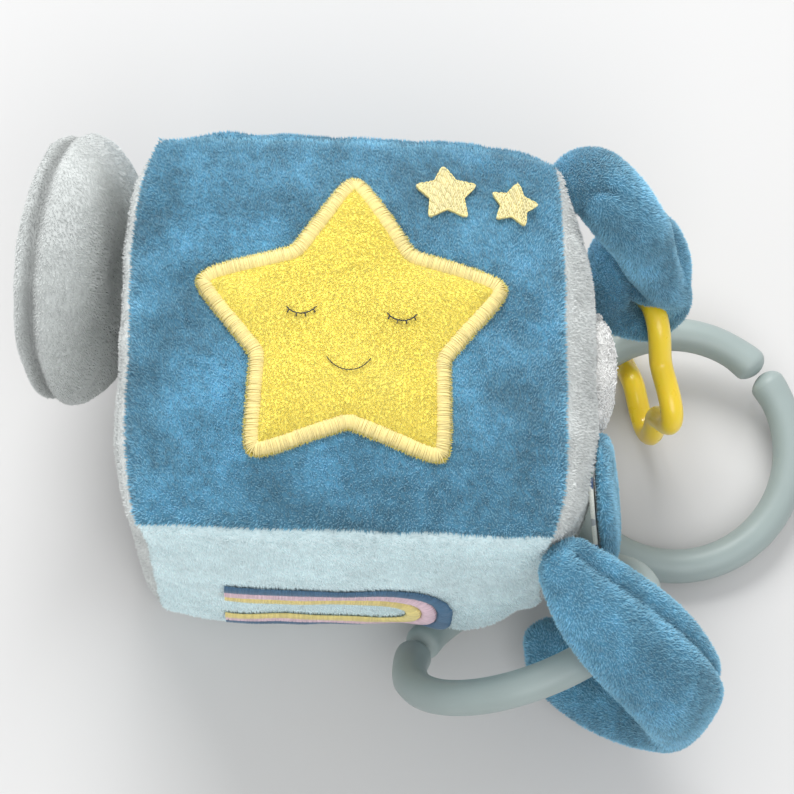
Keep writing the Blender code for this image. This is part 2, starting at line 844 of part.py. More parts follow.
arm_points = [from_right_corner(1, arm_reach, shares) for shares in knot_arm_shares]
strap_root = arm_points[0].copy()
strap_pivot = empty("strap_pivot", strap_root)
knot_points = []
knot_tubes = []
knot_steps = 9
for i in range(knot_steps):
    share = i / (knot_steps - 1)
    turn = knot_start - knot_sweep * share
    reach = knot_hold_radius
    away = hold_out * reach * sin(turn)
    knot_tubes.append(knot_waist + (knot_tube - knot_waist) * abs(cos(turn)))
    slip = hold_axis * knot_tube * knot_slip_share * max(0.0, 1 - 2 * share) ** 2
    knot_points.append(hold_place + away + hold_side * reach * cos(turn) + slip)
line = smooth_path(arm_points + knot_points, path_steps)
wides = spread([arm_half_width * share for share in arm_width_shares] + knot_tubes, path_steps)
thins = spread([arm_half_thickness * share for share in arm_thickness_shares] + knot_tubes, path_steps)
across = [hold_axis] * len(line)
sweep("knotted_strap", line, wides, thins, across, "plush_blue", False, strap_pivot, strap_root)

# The star teether and the ring threaded through it.
teether_pivot = empty("teether_pivot", hold_place, strap_pivot)
turns = [2 * pi * i / teether_steps for i in range(teether_steps)]
star_line = []
for turn in turns:
    reach = teether_radius + teether_wave * cos(star_points * (turn - teether_turn))
    star_line.append(teether_place(turn, reach))
thins = [teether_tube] * teether_steps
across = [teether_side] * teether_steps
sweep("star_teether", star_line, thins, thins, across, "teether_yellow", True, teether_pivot, hold_place)
side_facing = Vector((0, -sin(side_ring_tilt), cos(side_ring_tilt)))
side_height = ring_tube + seat_gap + ring_radius * sin(side_ring_tilt)
side_centre = Vector((teether_x + side_ring_out, teether_y - side_ring_forward, side_height))
side_pivot = empty("side_ring_pivot", side_centre, teether_pivot)
split_way = Vector((cos(side_ring_split_turn), sin(side_ring_split_turn), 0))
link_ring("side_ring", side_centre, side_facing, split_way, side_pivot)

# The loop strap on the front corner and the ring that hangs in it.
loop_points = [from_right_corner(-1, loop_reach, shares) for shares in loop_shares]
loop_root = Vector((loop_points[0].x, loop_points[0].y, middle_height))
loop_pivot = empty("loop_pivot", loop_root)
line = smooth_path(loop_points, path_steps)
out_way = loop_points[4] - loop_root
loop_across = Vector((-out_way.y, out_way.x, 0)).normalized()
widths = [strap_half_width * share for share in spread(loop_width_shares, path_steps)]
thins = [strap_half_thickness] * len(line)
across = [loop_across] * len(line)
sweep("loop_strap", line, widths, thins, across, "plush_blue", False, loop_pivot, loop_root)
front_x = half_width - front_ring_in
front_y = -half_depth - front_ring_forward
front_centre = Vector((front_x, front_y, seam_rise + front_ring_rise))
front_pivot = empty("front_ring_pivot", front_centre, loop_pivot)
split_way = Vector((cos(front_ring_split_turn), sin(front_ring_split_turn), 0))
link_ring("front_ring", front_centre, front_ring_facing, split_way, front_pivot)
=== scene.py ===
"""Looks of the soft activity block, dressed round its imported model.

Metres, +Z up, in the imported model's own frame: the block stands on Z = 0, the flap is on +X and the
rainbow on -Y.  Every plush piece is a padded skin with short pile grown on it by geometry nodes, and
every embroidered piece is laid thread by thread over its pad.
"""
from math import atan2, cos, pi, radians, sin, sqrt

import bmesh
import bpy
import numpy as np
from mathutils import Matrix, Vector, noise
from mathutils.bvhtree import BVHTree


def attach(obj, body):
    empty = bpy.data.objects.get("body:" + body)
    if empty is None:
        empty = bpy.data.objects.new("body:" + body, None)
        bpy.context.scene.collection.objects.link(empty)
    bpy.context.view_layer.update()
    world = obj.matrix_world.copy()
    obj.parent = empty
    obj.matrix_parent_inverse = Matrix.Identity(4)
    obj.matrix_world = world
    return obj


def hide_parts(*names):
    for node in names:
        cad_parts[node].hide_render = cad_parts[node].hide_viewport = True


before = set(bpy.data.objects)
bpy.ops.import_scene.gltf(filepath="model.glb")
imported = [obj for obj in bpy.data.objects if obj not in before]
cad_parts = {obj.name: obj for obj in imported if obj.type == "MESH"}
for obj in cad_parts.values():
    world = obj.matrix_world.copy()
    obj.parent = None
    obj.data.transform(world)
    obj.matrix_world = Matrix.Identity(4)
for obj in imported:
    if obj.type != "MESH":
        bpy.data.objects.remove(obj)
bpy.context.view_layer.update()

MM = 0.001

# The stuffed block, as packed: its size over the seams and how far each face swells.
half_width = 51 * MM
half_depth = 50 * MM
half_height = 48 * MM
seam_rise = 2 * MM
middle_height = seam_rise + half_height
top_crown = 5.0 * MM
bottom_crown = 6.5 * MM
left_crown = 5.0 * MM
right_crown = 9.0 * MM
front_crown = 6.5 * MM
back_crown = 7.5 * MM
edge_draw = 0.8 * MM
corner_lift = 19 * MM
corner_flare = 5 * MM
corner_round_share = 0.022
left_roll = 6.0 * MM
right_roll = 2.6 * MM
right_belly = 2.0 * MM
left_roll_at_corners = 0.3
side_roll_sink = 0.3
back_roll_sink = 0.5
back_roll = 4.2 * MM
front_bulge = 4.6 * MM
ring_dent = 1.9 * MM
ear_dent = 3.4 * MM
ear_side_overhang = 0.25
front_flat_levels = (1.0, 0.583, 0.188, 0.0, -0.083, -0.25, -0.396, -0.646, -0.833, -1.0)
front_flat_depths = (0.0, -4.0, -4.4, -4.3, -3.9, -2.6, -2.3, -2.3, 0.2, 1.0)
front_flats = np.polyfit(front_flat_levels, front_flat_depths, 5)

# How the skin of the block is sewn.
skin_steps = 36
skin_thickness = 1.3 * MM
seam_depth = 1.5 * MM
seam_width = 1.7 * MM
lump_size = 26 * MM
lump_depth = 0.9 * MM
pucker_depth = 0.5 * MM
pucker_length = 7 * MM
pucker_reach = 13 * MM
seam_wander = 0.7 * MM

# Colours of the cloth at the tips of its pile, with darker root colours that paint the shade deep in the pile, and of
# the threads and plastics.
blue = (0.235, 0.500, 0.650)
blue_shaded_root = (0.095, 0.290, 0.430)
aqua = (0.820, 0.940, 0.960)
aqua_shaded_root = (0.730, 0.885, 0.915)
grey = (0.700, 0.725, 0.715)
grey_shaded_root = (0.570, 0.595, 0.585)
yellow = (1.000, 0.860, 0.175)
yellow_shaded_root = (1.000, 0.830, 0.150)
pale_yellow = (0.950, 0.790, 0.330)
small_star_yellow = (0.940, 0.850, 0.465)
ring_green = (0.330, 0.395, 0.385)
teether_yellow = (1.000, 0.690, 0.030)


def surface(a, b, c):
    """The stuffed block's surface for cube coordinates a, b, c, which are arrays from -1 to 1."""
    def swell(t):
        return 1 - np.abs(t) ** 4

    def hill(first, first_middle, first_spread, second, second_middle, second_spread):
        return np.exp(-((first - first_middle) / first_spread) ** 2 - ((second - second_middle) / second_spread) ** 2)

    keep = 1 - corner_round_share * np.abs(a * b * c) ** 4
    near = ((1 + a) / 2) ** 2 * ((1 - b) / 2) ** 2 * ((1 - c) / 2) ** 2
    x = a * half_width * keep + a * np.where(a > 0, right_crown, left_crown) * swell(b) * swell(c)
    y = b * half_depth * keep + b * np.where(b > 0, back_crown, front_crown) * swell(a) * swell(c)
    z = c * half_height * keep + c * np.where(c > 0, top_crown, bottom_crown) * swell(a) * swell(b)
    x = x - a * edge_draw * (swell(b) * c * c + swell(c) * b * b) + corner_flare * near
    y = y - b * edge_draw * (swell(a) * c * c + swell(c) * a * a)
    z = z + corner_lift * near + middle_height
    over_left = ((1 - a) / 2) ** 5 * ((1 + c) / 2) ** 6 * (left_roll_at_corners + (1 - left_roll_at_corners) * swell(b))
    over_left = over_left * (1 + ear_side_overhang * np.exp(-((b - 0.5) / 0.35) ** 2))
    over_back = ((1 + b) / 2) ** 5 * ((1 + c) / 2) ** 9 * np.clip((0.95 - a) / 0.4, 0, 1)
    by_ear = ((1 - a) / 2) ** 4 * swell(b) * hill(b, 0.5, 0.4, c, 0.45, 0.4)
    low_bulge = ((1 - b) / 2) ** 4 * swell(a) * hill(a, 0.68, 0.25, c, -0.5, 0.2)
    by_ring = ((1 - b) / 2) ** 4 * hill(a, 0.46, 0.3, c, -0.85, 0.25)
    over_right = ((1 + a) / 2) ** 5 * ((1 + c) / 2) ** 3 * swell(b) * (1 - 0.45 * b)
    belly_right = ((1 + a) / 2) ** 4 * swell(b) * swell(c) * hill(b, -0.35, 0.45, c, -0.1, 0.5)
    flat_front = ((1 - b) / 2) ** 4 * swell(a) * np.polyval(front_flats, c) * MM
    x = x - left_roll * over_left + right_roll * over_right + right_belly * belly_right
    z = z - side_roll_sink * left_roll * over_left - side_roll_sink * right_roll * over_right
    x = x + ear_dent * by_ear
    y = y - flat_front - front_bulge * low_bulge + ring_dent * by_ring + back_roll * over_back
    z = z - back_roll_sink * back_roll * over_back
    return np.stack([x, y, np.maximum(z, 0)], -1)


def placed(name, data):
    """A new object of the scene, at the origin."""
    made = bpy.data.objects.new(name, data)
    bpy.context.scene.collection.objects.link(made)
    return made


def new_object(name, verts, faces):
    """A smooth-shaded mesh object at the origin."""
    mesh = bpy.data.meshes.new(name)
    mesh.from_pydata([tuple(v) for v in verts], [], [tuple(f) for f in faces])
    mesh.update()
    mesh.shade_smooth()
    made = placed(name, mesh)
    return made


def places(obj):
    """Every vertex's place, as an array."""
    out = np.zeros(len(obj.data.vertices) * 3)
    obj.data.vertices.foreach_get("co", out)
    return out.reshape(-1, 3)


def put(obj, co):
    obj.data.vertices.foreach_set("co", np.asarray(co, float).ravel())
    obj.data.update()


def normals(obj):
    out = np.zeros(len(obj.data.vertices) * 3)
    obj.data.vertices.foreach_get("normal", out)
    return out.reshape(-1, 3)


def unit_rows(rows):
    size = np.linalg.norm(rows, axis=1)[:, None]
    size[size < 1e-9] = 1e-9
    return rows / size


def rough(co, size, seed):
    """Smooth noise from about -1 to 1 at each place."""
    shift = Vector((seed * 7.3, seed * 3.1, seed * 5.7))
    return np.array([noise.noise(Vector(p) / size + shift) for p in co])


def bake(obj):
    """Replace the object's mesh by what its modifiers make of it."""
    graph = bpy.context.evaluated_depsgraph_get()
    mesh = bpy.data.meshes.new_from_object(obj.evaluated_get(graph), depsgraph=graph)
    obj.modifiers.clear()
    old = obj.data
    obj.data = mesh
    bpy.data.meshes.remove(old)
    return obj


def finer(obj, levels):
    made = obj.modifiers.new("finer", "SUBSURF")
    made.levels = levels
    made.render_levels = levels
    return bake(obj)


def puff(obj, held, cap, pressure=4.0, slack=0.015):
    """Fill a closed skin with Cloth, holding it at its seams, and keep how far each point moved."""
    before = places(obj)
    group = obj.vertex_groups.new(name="held")
    for index in np.nonzero(held > 0)[0]:
        group.add([int(index)], float(held[index]), "REPLACE")
    cloth = obj.modifiers.new("puff", "CLOTH")
    cloth.settings.vertex_group_mass = "held"
    cloth.settings.use_pressure = True
    cloth.settings.uniform_pressure_force = pressure
    cloth.settings.shrink_min = -slack
    cloth.settings.quality = 6
    cloth.settings.bending_stiffness = 0.1
    cloth.settings.effector_weights.gravity = 0
    cloth.collision_settings.use_collision = False
    cloth.point_cache.frame_end = 20
    scene = bpy.context.scene
    for number in range(1, 21):
        scene.frame_set(number)
    graph = bpy.context.evaluated_depsgraph_get()
    mesh = obj.evaluated_get(graph).to_mesh()
    after = np.zeros(len(mesh.vertices) * 3)
    mesh.vertices.foreach_get("co", after)
    move = after.reshape(-1, 3) - before
    far = np.linalg.norm(move, axis=1)
    far[far < 1e-9] = 1e-9
    limit = cap * np.tanh(far / cap)
    obj.modifiers.clear()
    obj.vertex_groups.clear()
    scene.frame_set(1)
    put(obj, before + move * (limit / far)[:, None])
    return obj


def set_vectors(obj, name, values):
    found = obj.data.attributes.new(name, "FLOAT_VECTOR", "POINT")
    found.data.foreach_set("vector", np.asarray(values, float).ravel())


def set_floats(obj, name, values):
    found = obj.data.attributes.new(name, "FLOAT", "POINT")
    found.data.foreach_set("value", np.asarray(values, float).ravel())


# Materials.


def shader(name, rough_value, sheen=0.0):
    """A new material and its Principled shader, with what is the same all over set on it."""
    made = bpy.data.materials.new(name)
    made.use_nodes = True
    main = made.node_tree.nodes["Principled BSDF"]
    main.inputs["Roughness"].default_value = rough_value
    main.inputs["Sheen Weight"].default_value = sheen
    main.inputs["Sheen Roughness"].default_value = 0.4
    return made, main


def wire(tree, kind, **inputs):
    """Add a node and fill its named inputs with values or with other nodes' outputs."""
    made = tree.nodes.new(kind)
    for key, value in inputs.items():
        numbered = key[0] == "n" and key[1:].isdigit()
        socket = made.inputs[int(key[1:]) if numbered else key.replace("_", " ")]
        if isinstance(value, bpy.types.NodeSocket):
            tree.links.new(value, socket)
        else:
            socket.default_value = value
    return made


def noise_at(tree, scale, detail=2.0, roughness=0.5):
    coords = tree.nodes.new("ShaderNodeTexCoord")
    return wire(tree, "ShaderNodeTexNoise", Vector=coords.outputs["Object"], Scale=scale, Detail=detail,
                Roughness=roughness).outputs["Fac"]


def blend_colours(tree, share, first, second, how="MIX"):
    made = tree.nodes.new("ShaderNodeMix")
    made.data_type = "RGBA"
    made.blend_type = how
    for socket, value in ((made.inputs[0], share), (made.inputs[6], first), (made.inputs[7], second)):
        if isinstance(value, bpy.types.NodeSocket):
            tree.links.new(value, socket)
        else:
            socket.default_value = value if socket == made.inputs[0] else (*value, 1)
    return made.outputs[2]


def stretch(tree, value, low, high, to_low, to_high):
    return wire(tree, "ShaderNodeMapRange", Value=value, n1=low, n2=high, n3=to_low, n4=to_high).outputs[0]


def roughen(tree, main, height, strength, distance):
    """Fine relief, well under a millimetre deep."""
    bump = wire(tree, "ShaderNodeBump", Height=height, Strength=strength, Distance=distance)
    tree.links.new(bump.outputs["Normal"], main.inputs["Normal"])


def plush(name, tip, shaded_root, sheen=0.7, mottle=0.16, grain=0.08):
    """Short pile: painted shade darkens it towards the root, lighter at the tip, each tuft a little different, and
    mottled.
    """
    made, main = shader(name, 0.9, sheen)
    main.inputs["Sheen Tint"].default_value = (*[0.4 + 0.6 * c for c in tip], 1)
    main.inputs["Subsurface Weight"].default_value = 0.3
    main.inputs["Subsurface Radius"].default_value = (1, 1, 1)
    main.inputs["Subsurface Scale"].default_value = 0.0008
    tree = made.node_tree
    height = wire(tree, "ShaderNodeAttribute").outputs["Fac"]
    height.node.attribute_name = "tip"
    shade = wire(tree, "ShaderNodeAttribute").outputs["Fac"]
    shade.node.attribute_name = "tuft_shade"
    wide = noise_at(tree, 55, 3.0)
    fine = noise_at(tree, 420, 2.0)
    along = stretch(tree, height, 0.0, 1.0, 0.0, 1.0)
    # painted shade: the colour darkens from the tip down to the root and the skin between the tufts
    colour = blend_colours(tree, along, shaded_root, tip)
    dark = [c * (1 - mottle) for c in (1, 1, 1)]
    light = [1 + mottle] * 3
    lumps = blend_colours(tree, stretch(tree, wide, 0.35, 0.65, 0.0, 1.0), dark, light)
    colour = blend_colours(tree, 1.0, colour, lumps, "MULTIPLY")
    clumps = blend_colours(tree, stretch(tree, fine, 0.3, 0.7, 0.0, 1.0), [1 - grain] * 3, [1 + grain] * 3)
    colour = blend_colours(tree, 1.0, colour, clumps, "MULTIPLY")
    tufts = blend_colours(tree, shade, [1 - grain] * 3, [1 + grain] * 3)
    colour = blend_colours(tree, 1.0, colour, tufts, "MULTIPLY")
    # painted shade: the crease attribute darkens the colour towards a deep root tone in seam grooves
    crease = wire(tree, "ShaderNodeAttribute").outputs["Fac"]
    crease.node.attribute_name = "crease"
    colour = blend_colours(tree, crease, colour, [c * 0.35 for c in shaded_root])
    tree.links.new(colour, main.inputs["Base Color"])
    roughen(tree, main, noise_at(tree, 1900, 3.0, 0.7), 0.5, 0.0004)
    return made


def thread(name, colour, dark_share=0.72, sheen=0.25):
    """Embroidery thread: satin, a little darker deep in, with fine twist lines."""
    made, main = shader(name, 0.48, sheen)
    tree = made.node_tree
    shade = wire(tree, "ShaderNodeAttribute").outputs["Fac"]
    shade.node.attribute_name = "tuft_shade"
    deep = [c * dark_share for c in colour]
    mixed = blend_colours(tree, stretch(tree, shade, 0.0, 1.0, 0.35, 1.0), deep, colour)
    grain = blend_colours(tree, stretch(tree, noise_at(tree, 900, 2.0), 0.3, 0.7, 0.0, 1.0), (0.93, 0.93, 0.93),
                          (1.03, 1.03, 1.03))
    tree.links.new(blend_colours(tree, 1.0, mixed, grain, "MULTIPLY"), main.inputs["Base Color"])
    roughen(tree, main, noise_at(tree, 5200, 2.0, 0.6), 0.25, 0.0002)
    return made


def moulded(name, colour, gloss, grain, translucent=0.0):
    """Moulded plastic with a faint cloudiness and a fine skin."""
    made, main = shader(name, gloss)
    tree = made.node_tree
    cloud = blend_colours(tree, stretch(tree, noise_at(tree, 45, 2.0), 0.3, 0.7, 0.0, 1.0), [c * 0.93 for c in colour],
                          [min(1.0, c * 1.05) for c in colour])
    tree.links.new(cloud, main.inputs["Base Color"])
    dull = stretch(tree, noise_at(tree, 240, 3.0), 0.2, 0.8, gloss - 0.06, gloss + 0.08)
    tree.links.new(dull, main.inputs["Roughness"])
    roughen(tree, main, noise_at(tree, 2600, 2.0, 0.6), grain, 0.0002)
    if translucent:
        main.inputs["Subsurface Weight"].default_value = translucent
        main.inputs["Subsurface Radius"].default_value = (1.0, 0.55, 0.15)
        main.inputs["Subsurface Scale"].default_value = 0.004
        main.inputs["Coat Weight"].default_value = 0.4
        main.inputs["Coat Roughness"].default_value = 0.12
    return made


blue_plush = plush("blue_plush", blue, blue_shaded_root, 0.6, 0.3, 0.18)
# painted light: the straps' plush is the blue plush made 5% lighter, standing in for the light the straps catch
strap_plush = plush("strap_plush", [1.05 * c for c in blue], [1.05 * c for c in blue_shaded_root], 0.6, 0.25, 0.15)
aqua_plush = plush("aqua_plush", aqua, aqua_shaded_root, 0.6, 0.05)
grey_plush = plush("grey_plush", grey, grey_shaded_root, 0.4, 0.08)
# partly painted shade: the grey plush with tips 6% darker, for the ear, its foot and the left panel on the side away
# from the light; it also has softer root-to-tip contrast and no sheen
shaded_grey_plush = plush("ear_plush_cloth", [0.94 * c for c in grey], [1.04 * c for c in grey_shaded_root], 0.0, 0.06, 0.05)
yellow_plush = plush("yellow_plush", yellow, yellow_shaded_root, 0.1, 0.03, 0.03)
white_fleece = plush("white_fleece", (1.0, 1.0, 0.98), (0.99, 0.99, 0.97), 0.8, 0.01, 0.01)
backing = plush("knit_backing", (0.55, 0.56, 0.56), (0.50, 0.51, 0.51), 0.1, 0.1)
yellow_thread = thread("yellow_thread", pale_yellow)
small_thread = thread("small_star_thread", small_star_yellow)
gold_thread = thread("gold_thread", (0.940, 0.800, 0.330))
pink_thread = thread("pink_thread", (0.900, 0.680, 0.760))
navy_thread = thread("navy_thread", (0.090, 0.200, 0.330))
dark_thread = thread("dark_thread", (0.030, 0.030, 0.035))
ring_plastic = moulded("ring_plastic", ring_green, 0.42, 0.15)
teether_plastic = moulded("teether_plastic", teether_yellow, 0.3, 0.05, 0.25)
case_plastic = moulded("case_plastic", (0.72, 0.73, 0.75), 0.4, 0.1)
bead_plastic = moulded("bead_plastic", (0.70, 0.30, 0.25), 0.3, 0.1)

# Geometry nodes: pile on a skin, and threads along stitches.


def new_tree(name, numbers):
    """A geometry tree with a mesh coming in, named sizes, a material and a mesh going out."""
    tree = bpy.data.node_groups.new(name, "GeometryNodeTree")
    tree.interface.new_socket("Mesh", in_out="INPUT", socket_type="NodeSocketGeometry")
    for label, kind in numbers:
        tree.interface.new_socket(label, in_out="INPUT", socket_type=kind)
    tree.interface.new_socket("Mesh", in_out="OUTPUT", socket_type="NodeSocketGeometry")
    return tree, tree.nodes.new("NodeGroupInput").outputs, tree.nodes.new("NodeGroupOutput").inputs


def named(tree, name, kind="FLOAT"):
    made = tree.nodes.new("GeometryNodeInputNamedAttribute")
    made.data_type = kind
    made.inputs["Name"].default_value = name
    return made.outputs["Attribute"]


def store(tree, mesh, name, value, domain="POINT"):
    made = tree.nodes.new("GeometryNodeStoreNamedAttribute")
    made.data_type = "FLOAT"
    made.domain = domain
    tree.links.new(mesh, made.inputs["Geometry"])
    made.inputs["Name"].default_value = name
    tree.links.new(value, made.inputs["Value"])
    return made.outputs["Geometry"]


def math_node(tree, how, first, second=None, vector=False):
    made = tree.nodes.new("ShaderNodeVectorMath" if vector else "ShaderNodeMath")
    made.operation = how
    for socket, value in zip(made.inputs, (first, second)):
        if value is None:
            continue
        if isinstance(value, bpy.types.NodeSocket):
            tree.links.new(value, socket)
        else:
            socket.default_value = value
    return made.outputs[0]


def scaled(tree, vector, by):
    made = tree.nodes.new("ShaderNodeVectorMath")
    made.operation = "SCALE"
    tree.links.new(vector, made.inputs[0])
    if isinstance(by, bpy.types.NodeSocket):
        tree.links.new(by, made.inputs["Scale"])
    else:
        made.inputs["Scale"].default_value = by
    return made.outputs[0]


def random_vector(tree, seed):
    made = tree.nodes.new("FunctionNodeRandomValue")
    made.data_type = "FLOAT_VECTOR"
    made.inputs[0].default_value = (-1, -1, -1)
    made.inputs[1].default_value = (1, 1, 1)
    tree.links.new(seed, made.inputs["Seed"])
    return made.outputs[0]


def random_float(tree, low, high, seed):
    made = tree.nodes.new("FunctionNodeRandomValue")
    made.data_type = "FLOAT"
    made.inputs[2].default_value = low
    made.inputs[3].default_value = high
    tree.links.new(seed, made.inputs["Seed"])
    return made.outputs[1]


def pile_tree():
    """Tapered tufts scattered on the skin's outer faces, leaning the way the skin is combed."""
    tree, given, out = new_tree("pile", [
        ("Tufts per area", "NodeSocketFloat"), ("Length", "NodeSocketFloat"), ("Width", "NodeSocketFloat"),
        ("Rise", "NodeSocketFloat"), ("Lean", "NodeSocketFloat"), ("Wander", "NodeSocketFloat"),
        ("Swirl", "NodeSocketFloat"), ("Swirl scale", "NodeSocketFloat"), ("Seed", "NodeSocketInt"),
        ("Material", "NodeSocketMaterial")])
    link = tree.links.new
    side = tree.nodes.new("GeometryNodeInputMaterialIndex").outputs[0]
    outer = tree.nodes.new("FunctionNodeCompare")
    outer.data_type = "INT"
    outer.operation = "EQUAL"
    link(side, outer.inputs["A"])
    scatter = tree.nodes.new("GeometryNodeDistributePointsOnFaces")
    link(given["Mesh"], scatter.inputs["Mesh"])
    link(outer.outputs[0], scatter.inputs["Selection"])
    link(given["Tufts per area"], scatter.inputs["Density"])
    link(given["Seed"], scatter.inputs["Seed"])
    swirl = tree.nodes.new("ShaderNodeTexNoise")
    link(given["Swirl scale"], swirl.inputs["Scale"])
    swirl.inputs["Detail"].default_value = 2.0
    centred = math_node(tree, "SUBTRACT", swirl.outputs["Color"], (0.5, 0.5, 0.5), True)
    way = scaled(tree, scatter.outputs["Normal"], given["Rise"])
    way = math_node(tree, "ADD", way, scaled(tree, named(tree, "comb", "FLOAT_VECTOR"), given["Lean"]), True)
    way = math_node(tree, "ADD", way, scaled(tree, random_vector(tree, given["Seed"]), given["Wander"]), True)
    way = math_node(tree, "ADD", way, scaled(tree, centred, given["Swirl"]), True)
    turn = tree.nodes.new("FunctionNodeAlignRotationToVector")
    turn.axis = "Z"
    link(way, turn.inputs["Vector"])
    cone = tree.nodes.new("GeometryNodeMeshCone")
    cone.inputs["Vertices"].default_value = 3
    cone.inputs["Radius Top"].default_value = 0.0
    link(given["Width"], cone.inputs["Radius Bottom"])
    link(given["Length"], cone.inputs["Depth"])
    up = tree.nodes.new("ShaderNodeSeparateXYZ")
    link(tree.nodes.new("GeometryNodeInputPosition").outputs[0], up.inputs[0])
    share = math_node(tree, "DIVIDE", up.outputs["Z"], given["Length"])
    tuft = store(tree, cone.outputs["Mesh"], "tip", share)
    plant = tree.nodes.new("GeometryNodeInstanceOnPoints")
    link(scatter.outputs["Points"], plant.inputs["Points"])
    link(tuft, plant.inputs["Instance"])
    link(turn.outputs[0], plant.inputs["Rotation"])
    size = math_node(tree, "MULTIPLY", random_float(tree, 0.65, 1.2, given["Seed"]), named(tree, "pile"))
    link(size, plant.inputs["Scale"])
    shaded = store(tree, plant.outputs["Instances"], "tuft_shade", random_float(tree, 0, 1, given["Seed"]), "INSTANCE")
    real = tree.nodes.new("GeometryNodeRealizeInstances")
    link(shaded, real.inputs["Geometry"])
    dress = tree.nodes.new("GeometryNodeSetMaterial")
    link(real.outputs[0], dress.inputs["Geometry"])
    link(given["Material"], dress.inputs["Material"])
    both = tree.nodes.new("GeometryNodeJoinGeometry")
    link(dress.outputs[0], both.inputs[0])
    link(given["Mesh"], both.inputs[0])
    link(both.outputs[0], out[0])
    return tree


def thread_tree():
    """Every edge of the mesh becomes one arched thread that stands over the cloth along its lift."""
    tree, given, out = new_tree("threads", [
        ("Thread", "NodeSocketFloat"), ("Arch", "NodeSocketFloat"), ("Steps", "NodeSocketInt"),
        ("Sides", "NodeSocketInt"), ("Seed", "NodeSocketInt"), ("Material", "NodeSocketMaterial")])
    link = tree.links.new
    lines = tree.nodes.new("GeometryNodeMeshToCurve")
    link(given["Mesh"], lines.inputs["Mesh"])
    points = tree.nodes.new("GeometryNodeResampleCurve")
    link(lines.outputs[0], points.inputs["Curve"])
    link(given["Steps"], points.inputs["Count"])
    factor = tree.nodes.new("GeometryNodeSplineParameter").outputs["Factor"]
    rest = math_node(tree, "SUBTRACT", 1.0, factor)
    arch = math_node(tree, "MULTIPLY", math_node(tree, "MULTIPLY", factor, rest), 4.0)
    arch = math_node(tree, "POWER", arch, 0.6)
    arch = math_node(tree, "MULTIPLY", arch, given["Arch"])
    lift = scaled(tree, named(tree, "lift", "FLOAT_VECTOR"), arch)
    move = tree.nodes.new("GeometryNodeSetPosition")
    link(points.outputs[0], move.inputs["Geometry"])
    link(lift, move.inputs["Offset"])
    ring = tree.nodes.new("GeometryNodeCurvePrimitiveCircle")
    link(given["Sides"], ring.inputs["Resolution"])
    link(given["Thread"], ring.inputs["Radius"])
    tube = tree.nodes.new("GeometryNodeCurveToMesh")
    link(move.outputs[0], tube.inputs["Curve"])
    link(ring.outputs[0], tube.inputs["Profile Curve"])
    tube.inputs["Fill Caps"].default_value = True
    real = tree.nodes.new("GeometryNodeRealizeInstances")
    link(tube.outputs[0], real.inputs["Geometry"])
    dress = tree.nodes.new("GeometryNodeSetMaterial")
    link(real.outputs[0], dress.inputs["Geometry"])
    link(given["Material"], dress.inputs["Material"])
    link(dress.outputs[0], out[0])
    return tree


PILE = pile_tree()
THREADS = thread_tree()


def apply_tree(obj, tree, **values):
    """Run one of the trees on an object with its named inputs, and keep the plain mesh."""
    made = obj.modifiers.new(tree.name, "NODES")
    made.node_group = tree
    for item in tree.interface.items_tree:
        key = item.name.replace(" ", "_")
        if item.in_out == "INPUT" and key in values:
            made[item.identifier] = values[key]
    return bake(obj)


def grow_pile(obj, cloth, tufts, length, width, rise=1.0, lean=0.5, wander=0.4, swirl=0.7, size=6, seed=1):
    """Grow pile on a skin: tufts is how many it gets in all, and size is how wide its swirls are, in mm."""
    area = sum(p.area for p in obj.data.polygons if p.material_index == 0)
    if "pile" not in obj.data.attributes:
        set_floats(obj, "pile", np.ones(len(obj.data.vertices)))
    return apply_tree(obj, PILE, Tufts_per_area=tufts / area, Length=length, Width=width, Rise=rise, Lean=lean,
                      Wander=wander, Swirl=swirl, Swirl_scale=1 / (size * MM), Seed=seed, Material=cloth)


def finish(obj, nodes, body):
    """Hide the imported nodes the piece stands for and hang it on what it rides on."""
    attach(obj, body)
    if nodes:
        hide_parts(*nodes)
    return obj


# The block's skin: one sewn cube, blown up, then parted into its six panels.


def seam_distance(u, v):
    """How far a place on a face is from the nearest seam, for face coordinates from -1 to 1."""
    return np.minimum(1 - np.abs(u), 1 - np.abs(v)) * half_depth


def skin_of_block():
    steps = skin_steps
    index = {}
    cube = []
    faces = []
    grids = {}
    line = np.linspace(-1, 1, steps + 1)
    for axis in range(3):
        for side in (-1, 1):
            grid = np.zeros((steps + 1, steps + 1), int)
            for i in range(steps + 1):
                for j in range(steps + 1):
                    key = [i, j]
                    key.insert(axis, 0 if side < 0 else steps)
                    key = tuple(key)
                    if key not in index:
                        index[key] = len(cube)
                        cube.append([line[k] for k in key])
                    grid[i, j] = index[key]
            grids[(axis, side)] = grid
            flip = (side > 0) == (axis == 1)
            for i in range(steps):
                for j in range(steps):
                    quad = [grid[i, j], grid[i + 1, j], grid[i + 1, j + 1], grid[i, j + 1]]
                    faces.append(quad[::-1] if flip else quad)
    cube = np.array(cube)
    skin = new_object("block_skin", surface(cube[:, 0], cube[:, 1], cube[:, 2]), faces)
    mesh = bmesh.new()
    mesh.from_mesh(skin.data)
    bmesh.ops.recalc_face_normals(mesh, faces=mesh.faces)
    mesh.to_mesh(skin.data)
    mesh.free()
    return skin, cube, grids


def tree_of(obj):
    """A search tree for laying other pieces on this one."""
    verts = [v.co.copy() for v in obj.data.vertices]
    return BVHTree.FromPolygons(verts, [tuple(p.vertices) for p in obj.data.polygons])


